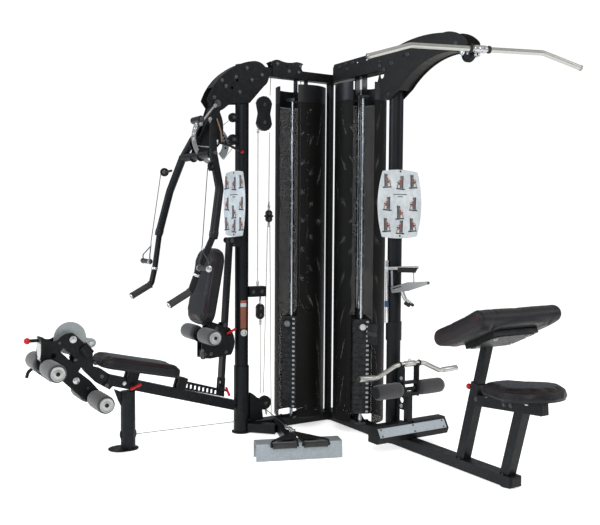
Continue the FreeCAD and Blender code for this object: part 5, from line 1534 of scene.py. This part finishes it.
def hung_handles():
    """The spare straps, bars and hooks that hang on the right column."""
    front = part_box("right_column")[0].y + 0.005
    store = Piece("hung_accessories")
    across = spot(1, -0.18, 0).normalized()
    out = across.cross(UP).normalized()
    low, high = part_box("stored_accessories")
    upper = spot(low.x + 0.003, front - 0.018, high.z - 0.009)
    store.bar(upper, upper + across * 0.190, 0.0088, SATIN_STEEL)
    store.ball(upper, 0.0115, MARK, 20)
    cover = [upper + across * a + UP * z + out * 0.002 for a,
             z in ((0.062, 0.004), (0.182, 0.002), (0.166, -0.026),
                                                                  (0.070, -0.022))]
    store.slab(cover, out * 0.012, RUBBER)
    blade_way = spot(1, -0.18, 0.12).normalized()
    blade = spot(upper.x + 0.028, front - 0.022, 0.842)
    rise = out.cross(blade_way).normalized()
    outline = [blade - rise * 0.020, blade + blade_way * 0.10 - rise * 0.024, blade
               + blade_way * 0.215 - rise * 0.007,
               blade + blade_way * 0.215 + rise * 0.010, blade + blade_way * 0.10 + rise * 0.022,
               blade + rise * 0.010]
    store.slab(outline, out * 0.010, SATIN_STEEL)
    store.slab([blade + blade_way * 0.004 + rise * z + out * 0.0105 for z in (-0.002, 0.004)] +
               [blade + blade_way * 0.055 + rise * z + out * 0.0105 for z in (0.010, 0.003)], out * 0.0012,
               RUBBER)
    store.bar(blade + blade_way * 0.215, blade + blade_way * 0.232, 0.0085, BLACK_BOLT)
    strip = spot(-0.064, front - 0.024, 0.857)
    store.slab([strip + across * a + UP * z for a,
                z in ((-0.005, 0), (0.006, 0), (0.002, 0.084), (-0.008, 0.084))],
               out * 0.003, SATIN_STEEL)
    store.bar(spot(0.066, front - 0.047, 0.868), spot(0.062, front - 0.045, 0.944), 0.0032, SATIN_STEEL)
    store.box(spot(0, front - 0.016, 0.934), (0.022, 0.030, 0.012), BLACK_BOLT)
    hook = rounded([spot(0.000, front - 0.024, 0.838), spot(0.012, front - 0.026, 0.808),
                    spot(0.022, front - 0.030, 0.784),
                    spot(0.052, front - 0.036, 0.762)], 0.03)
    store.tube(hook, 0.0105, SATIN_STEEL, 18)
    for end in (spot(0.056, front - 0.037, 0.759), spot(0.030, front - 0.036, 0.757)):
        store.bar(end - spot(0.016, 0, -0.008), end + spot(0.016, 0, -0.010), 0.0085, RUBBER, 20)
    ring = spot(-0.049, middle("right_column").y, 0.770)
    store.bar(ring, ring + UP * 0.220, 0.0092, CHROME)
    store.bar(ring - UP * 0.030, ring + UP * 0.004, 0.0118, FIGURE_BLUE)
    store.bar(ring - UP * 0.115, ring - UP * 0.028, 0.0105, CHROME)
    strap_low, strap_high = spot(-0.060, -0.546, 0.520), spot(-0.060, -0.448, 0.640)
    centre = (strap_low + strap_high) / 2
    pad = [centre + Y_WAY * (0.046 * math.copysign(abs(math.cos(a)) ** 0.5, math.cos(a)))
           + UP * (0.058 * math.copysign(abs(math.sin(a)) ** 0.5, math.sin(a)))
           for a in [2 * math.pi * (step + 0.5) / 40 for step in range(40)]]
    shell = [centre + (point - centre) * 0.93 for point in pad]
    store.skin([[p - X_WAY * 0.003 for p in shell], [p - X_WAY * 0.001 for p in pad],
                [p + X_WAY * 0.004 for p in pad],
                [p + X_WAY * 0.006 for p in shell]], RUBBER)
    store.box(centre - X_WAY * 0.004, (0.003, 0.088, 0.020), DARK_CABLE)
    item = store.make("frame", bevel=0.0006)
    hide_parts("stored_accessories")


def pulley_block_details():
    """The three pulley blocks on the left cables: twin plates with ribbed rims, and their shackles."""
    blocks = Piece("cable_pulley_blocks")

    def block(centres, radius, waist, thick):
        """A plate round one or two wheels, notched all round."""
        top, foot = centres[0], centres[-1]
        outline = []
        for centre, start in ((top, 0), (foot, 180)):
            for step in range(25):
                a = math.radians(start + 180 * step / 24)
                reach = radius * (1.0 if step % 3 else 0.955)
                outline.append(centre + X_WAY * (reach * math.cos(a)) + UP * (reach * math.sin(a)))
            if top != foot:
                turn = -1 if start == 0 else 1
                outline.append((top + foot) / 2 + X_WAY * (turn * waist))
        blocks.slab([point - Y_WAY * (thick / 2) for point in outline], Y_WAY * thick, PLASTIC)
        for centre in centres:
            for side in (-1, 1):
                face = centre + Y_WAY * (side * thick / 2)
                ring = [(-0.001, radius * 0.72), (0.0012, radius * 0.72), (0.0020, radius * 0.66),
                        (0.0006, radius * 0.5), (0.0006, radius * 0.3), (0.0024, radius * 0.26), (0.0024, 0)]
                blocks.lathe(face, Y_WAY * side, ring, PLASTIC, 32)
                blocks.bolt(face + Y_WAY * (side * 0.002), Y_WAY * side, 0.0075, BLACK_BOLT, 0.006)

    block([spot(-0.4695, 0, 1.852), spot(-0.4695, 0, 1.753)], 0.0485, 0.036, 0.020)
    block([spot(-0.435, 0, 1.240), spot(-0.435, 0, 1.208)], 0.0185, 0.015, 0.020)
    block([spot(-0.4905, 0, 0.700), spot(-0.4905, 0, 0.660)], 0.0250, 0.024, 0.018)
    blocks.bar(spot(-0.462, 0, 1.224), spot(-0.408, 0, 1.224), 0.007, BLACK_BOLT)
    item = blocks.make("frame")
    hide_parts("pulley_blocks")
    links = Piece("cable_shackles")
    for centre, tall in ((spot(-0.435, 0, 1.276), 0.017), (spot(-0.435, 0, 1.178), 0.014),
                         (spot(-0.490, 0, 0.744), 0.020), (spot(-0.488, 0, 0.622), 0.016),
                         (spot(-0.448, 0, 0.101), 0.018)):
        snap_hook(links, centre + UP * tall, centre - UP * tall, Y_WAY, 0.009, 0.0030, SATIN_STEEL)
        links.bar(centre - UP * tall - Y_WAY * 0.011, centre - UP * tall + Y_WAY * 0.011, 0.0038, SATIN_STEEL)
        links.bar(centre - UP * 0.004, centre + UP * (tall + 0.014), 0.0042, SATIN_STEEL)
    for x, z in ((-0.507, 0.830), (-0.507, 1.690)):
        links.lathe(spot(x, 0, z), UP,
                    [(0, 0), (0, 0.006), (0.003, 0.007), (0.022, 0.007), (0.026, 0.004), (0.026, 0)],
                    SATIN_STEEL, 20)
    links.make("frame")
    arm = Piece("middle_arm_fasteners")
    for x in (-0.545, -0.490):
        for side in (-1, 1):
            arm.bolt(spot(x, side * 0.025, 0.796), Y_WAY * side, 0.0085, BLACK_BOLT, 0.006)
    arm.make("frame")


def seat_station():
    """Rail caps, the arm pad's mounting plate and the fasteners of the pulldown seat."""
    low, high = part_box("seat_frame")
    gear = Piece("seat_station_caps")
    rail_way = (spot(0, -1.648, 0.391) - spot(0, -1.236, 0.357)).normalized()
    rail_up = X_WAY.cross(rail_way) * -1 if X_WAY.cross(rail_way).z < 0 else X_WAY.cross(rail_way)
    gear.box(spot(0, -1.648, 0.391) + rail_way * 0.0015, (0.052, 0.003, 0.052), PLASTIC, X_WAY, rail_up)
    gear.box(spot(0, -1.648, 0.391) + rail_way * 0.0035, (0.040, 0.003, 0.040), PLASTIC, X_WAY, rail_up)
    gear.box(spot(0, -1.236, 0.357) - rail_way * 0.0015, (0.052, 0.003, 0.052), PLASTIC, X_WAY, rail_up)
    base_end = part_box("right_base_beam")
    gear.box(spot(0, base_end[0].y - 0.0020, 0.031), (0.068, 0.004, 0.046), PLASTIC)
    gear.box(spot(0, base_end[0].y - 0.0048, 0.031), (0.054, 0.003, 0.034), PLASTIC)
    for side in (-1, 1):
        for y, z in ((-1.262, 0.366), (-1.440, 0.376), (-1.480, 0.380)):
            gear.bolt(spot(side * 0.0255, y, z), X_WAY * side, 0.0085, BLACK_BOLT, 0.006)
        for y in (-1.157, -1.443):
            gear.bolt(spot(side * 0.027, y, 0.057), UP, 0.0065, BLACK_BOLT, 0.005)
    for y in (-1.450, -1.590):
        for side in (-1, 1):
            gear.bolt(spot(side * 0.044, y, 0.3995 + (-1.450 - y) * 0.083), UP * -1, 0.0085, SATIN_STEEL,
                      0.007)
    for y in (-0.100, -0.330, -0.520):
        gear.bolt(spot(-0.030, y, base_end[1].z), UP, 0.0075, BLACK_BOLT, 0.006)
        gear.bolt(spot(0.030, y, base_end[1].z), UP, 0.0075, BLACK_BOLT, 0.006)
    left_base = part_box("left_base_beam")
    for x in (-0.120, -0.330, -0.520):
        gear.bolt(spot(x, -0.030, left_base[1].z), UP, 0.0075, BLACK_BOLT, 0.006)
        gear.bolt(spot(x, 0.030, left_base[1].z), UP, 0.0075, BLACK_BOLT, 0.006)
    gear.make("frame", bevel=0.0006)
    collar_way = travel("arm_pad_height")
    sleeve = Piece("post_collar")
    mouth = spot(0, -1.157, 0.056) + collar_way * 0.392
    across = X_WAY.cross(collar_way).normalized()
    outer = [X_WAY * (a * 0.0265) + across * (b * 0.0265) for a, b in ((-1, -1), (1, -1), (1, 1), (-1, 1))]
    inner = [X_WAY * (a * 0.0203) + across * (b * 0.0203) for a, b in ((-1, -1), (1, -1), (1, 1), (-1, 1))]
    sleeve.skin([[mouth + p - collar_way * 0.012 for p in outer],
                 [mouth + p + collar_way * 0.004 for p in outer],
                 [mouth + p + collar_way * 0.004 for p in inner],
                 [mouth + p - collar_way * 0.012 for p in inner]],
                PLASTIC, looped=True, smooth=False)
    sleeve.make("frame", bevel=0.0008)
    plate = Piece("arm_pad_mount")
    slope, normal = spot(0, -0.907, 0.421), spot(0, 0.421, 0.907)
    low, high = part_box("preacher_pad")
    under = (low + high) / 2 - normal * (0.044 + 0.0246)
    corners = []
    for a, b in ((-1, -1), (1, -1), (1, 1), (-1, 1)):
        base_angle = {(-1, -1): 180, (1, -1): 270, (1, 1): 0, (-1, 1): 90}[(a, b)]
        heart = under + X_WAY * (a * 0.108) + slope * (b * 0.066)
        corners += arc(heart, X_WAY, slope, 0.024, base_angle, base_angle + 90, 5)
    plate.slab(corners, normal * -0.0035, SHADE_BLACK)
    for a in (-0.100, 0.100):
        for b in (-0.058, 0.058):
            plate.bolt(under + X_WAY * a + slope * b - normal * 0.0035, -normal, 0.0085, SATIN_STEEL, 0.006)
    plate.make("arm_pad", bevel=0.0008)


def fittings():
    """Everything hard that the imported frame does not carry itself."""
    for side in ("left", "right"):
        stack_fittings(side)
    pulldown_station()
    press_works()
    arm_details()
    cable_handles()
    pull_pins()
    leg_station()
    back_rest_details()
    chart_sheets()
    foot_station()
    row_station()
    hung_handles()
    pulley_block_details()
    seat_station()


# ---------------------------------------------------------------- studio
def lay_floor():
    """A plain pale floor."""
    finish = Finish("studio_floor", (0.86, 0.86, 0.86), rough=0.8, Emission_Color=(1, 1, 1, 1),
                    Emission_Strength=0.62,
                    Specular_IOR_Level=0.0)
    cloud = finish.remap(finish.noise(2.5), 0.3, 0.7, 0, 1)
    finish.shader_input("Base Color", finish.blend(cloud, (0.855, 0.856, 0.86), (0.88, 0.88, 0.88)))
    bpy.ops.mesh.primitive_circle_add(vertices=96, radius=14, fill_type="NGON")
    floor = bpy.context.object
    floor.name = "floor"
    floor.data.materials.append(finish.material)


def light_studio():
    """A white room: a warm ceiling, a cooler horizon and three large soft lamps."""
    world = bpy.data.worlds.new("studio")
    world.use_nodes = True
    bpy.context.scene.world = world
    tree = world.node_tree
    tree.nodes.clear()
    new, link = tree.nodes.new, tree.links.new
    split = new("ShaderNodeSeparateXYZ")
    link(new("ShaderNodeTexCoord").outputs["Generated"], split.inputs["Vector"])
    ramp = new("ShaderNodeValToRGB")
    link(split.outputs["Z"], ramp.inputs["Fac"])
    ramp.color_ramp.elements[0].position = 0.02
    ramp.color_ramp.elements[0].color = (*HORIZON, 1)
    ramp.color_ramp.elements[1].position = 0.75
    ramp.color_ramp.elements[1].color = (*CEILING, 1)
    room, backdrop = new("ShaderNodeBackground"), new("ShaderNodeBackground")
    link(ramp.outputs["Color"], room.inputs["Color"])
    backdrop.inputs["Color"].default_value = (1, 1, 1, 1)
    backdrop.inputs["Strength"].default_value = 1.05
    mix, out = new("ShaderNodeMixShader"), new("ShaderNodeOutputWorld")
    link(new("ShaderNodeLightPath").outputs["Is Camera Ray"], mix.inputs["Fac"])
    link(room.outputs["Background"], mix.inputs[1])
    link(backdrop.outputs["Background"], mix.inputs[2])
    link(mix.outputs["Shader"], out.inputs["Surface"])
    for name, place, size, watts, colour in LAMPS:
        lamp = bpy.data.lights.new(name, "AREA")
        lamp.size = size
        lamp.energy = watts
        lamp.color = colour
        item = bpy.data.objects.new(name, lamp)
        item.location = place
        item.rotation_euler = (Vector((-0.6, -0.5, 0.9)) - Vector(place)).to_track_quat("-Z", "Y").to_euler()
        bpy.context.scene.collection.objects.link(item)
    bpy.context.scene.view_settings.view_transform = "Standard"


HORIZON = (0.20, 0.245, 0.33)
CEILING = (0.66, 0.63, 0.57)
LAMPS = [
    ("key_lamp", (-4.2, -4.8, 4.6), 3.2, 250, (1.0, 0.98, 0.95)),
    ("side_lamp", (-5.4, 1.2, 2.6), 2.6, 150, (0.80, 0.90, 1.0)),
    ("fill_lamp", (3.2, -4.6, 3.4), 2.8, 80, (0.95, 0.97, 1.0)),
]


LENS = 48.17
CAMERA_PLACE = (-2.6966, -4.0069, 1.1994)
CAMERA_TURN = (-31.683, -2.985, 0.351)


def place_camera():
    """A view from the open side of the corner; the turn is heading, tilt and roll in degrees."""
    data = bpy.data.cameras.new("camera")
    data.sensor_width = 36
    data.lens = LENS
    item = bpy.data.objects.new("camera", data)
    heading, tilt, roll = (math.radians(value) for value in CAMERA_TURN)
    item.matrix_world = (Matrix.Translation(CAMERA_PLACE) @ Matrix.Rotation(heading, 4, "Z")
                         @ Matrix.Rotation(math.pi / 2 + tilt, 4, "X") @ Matrix.Rotation(roll, 4, "Z"))
    bpy.context.scene.collection.objects.link(item)
    bpy.context.scene.camera = item


paint_frame()
soft_goods()
fittings()
lay_floor()
light_studio()
place_camera()
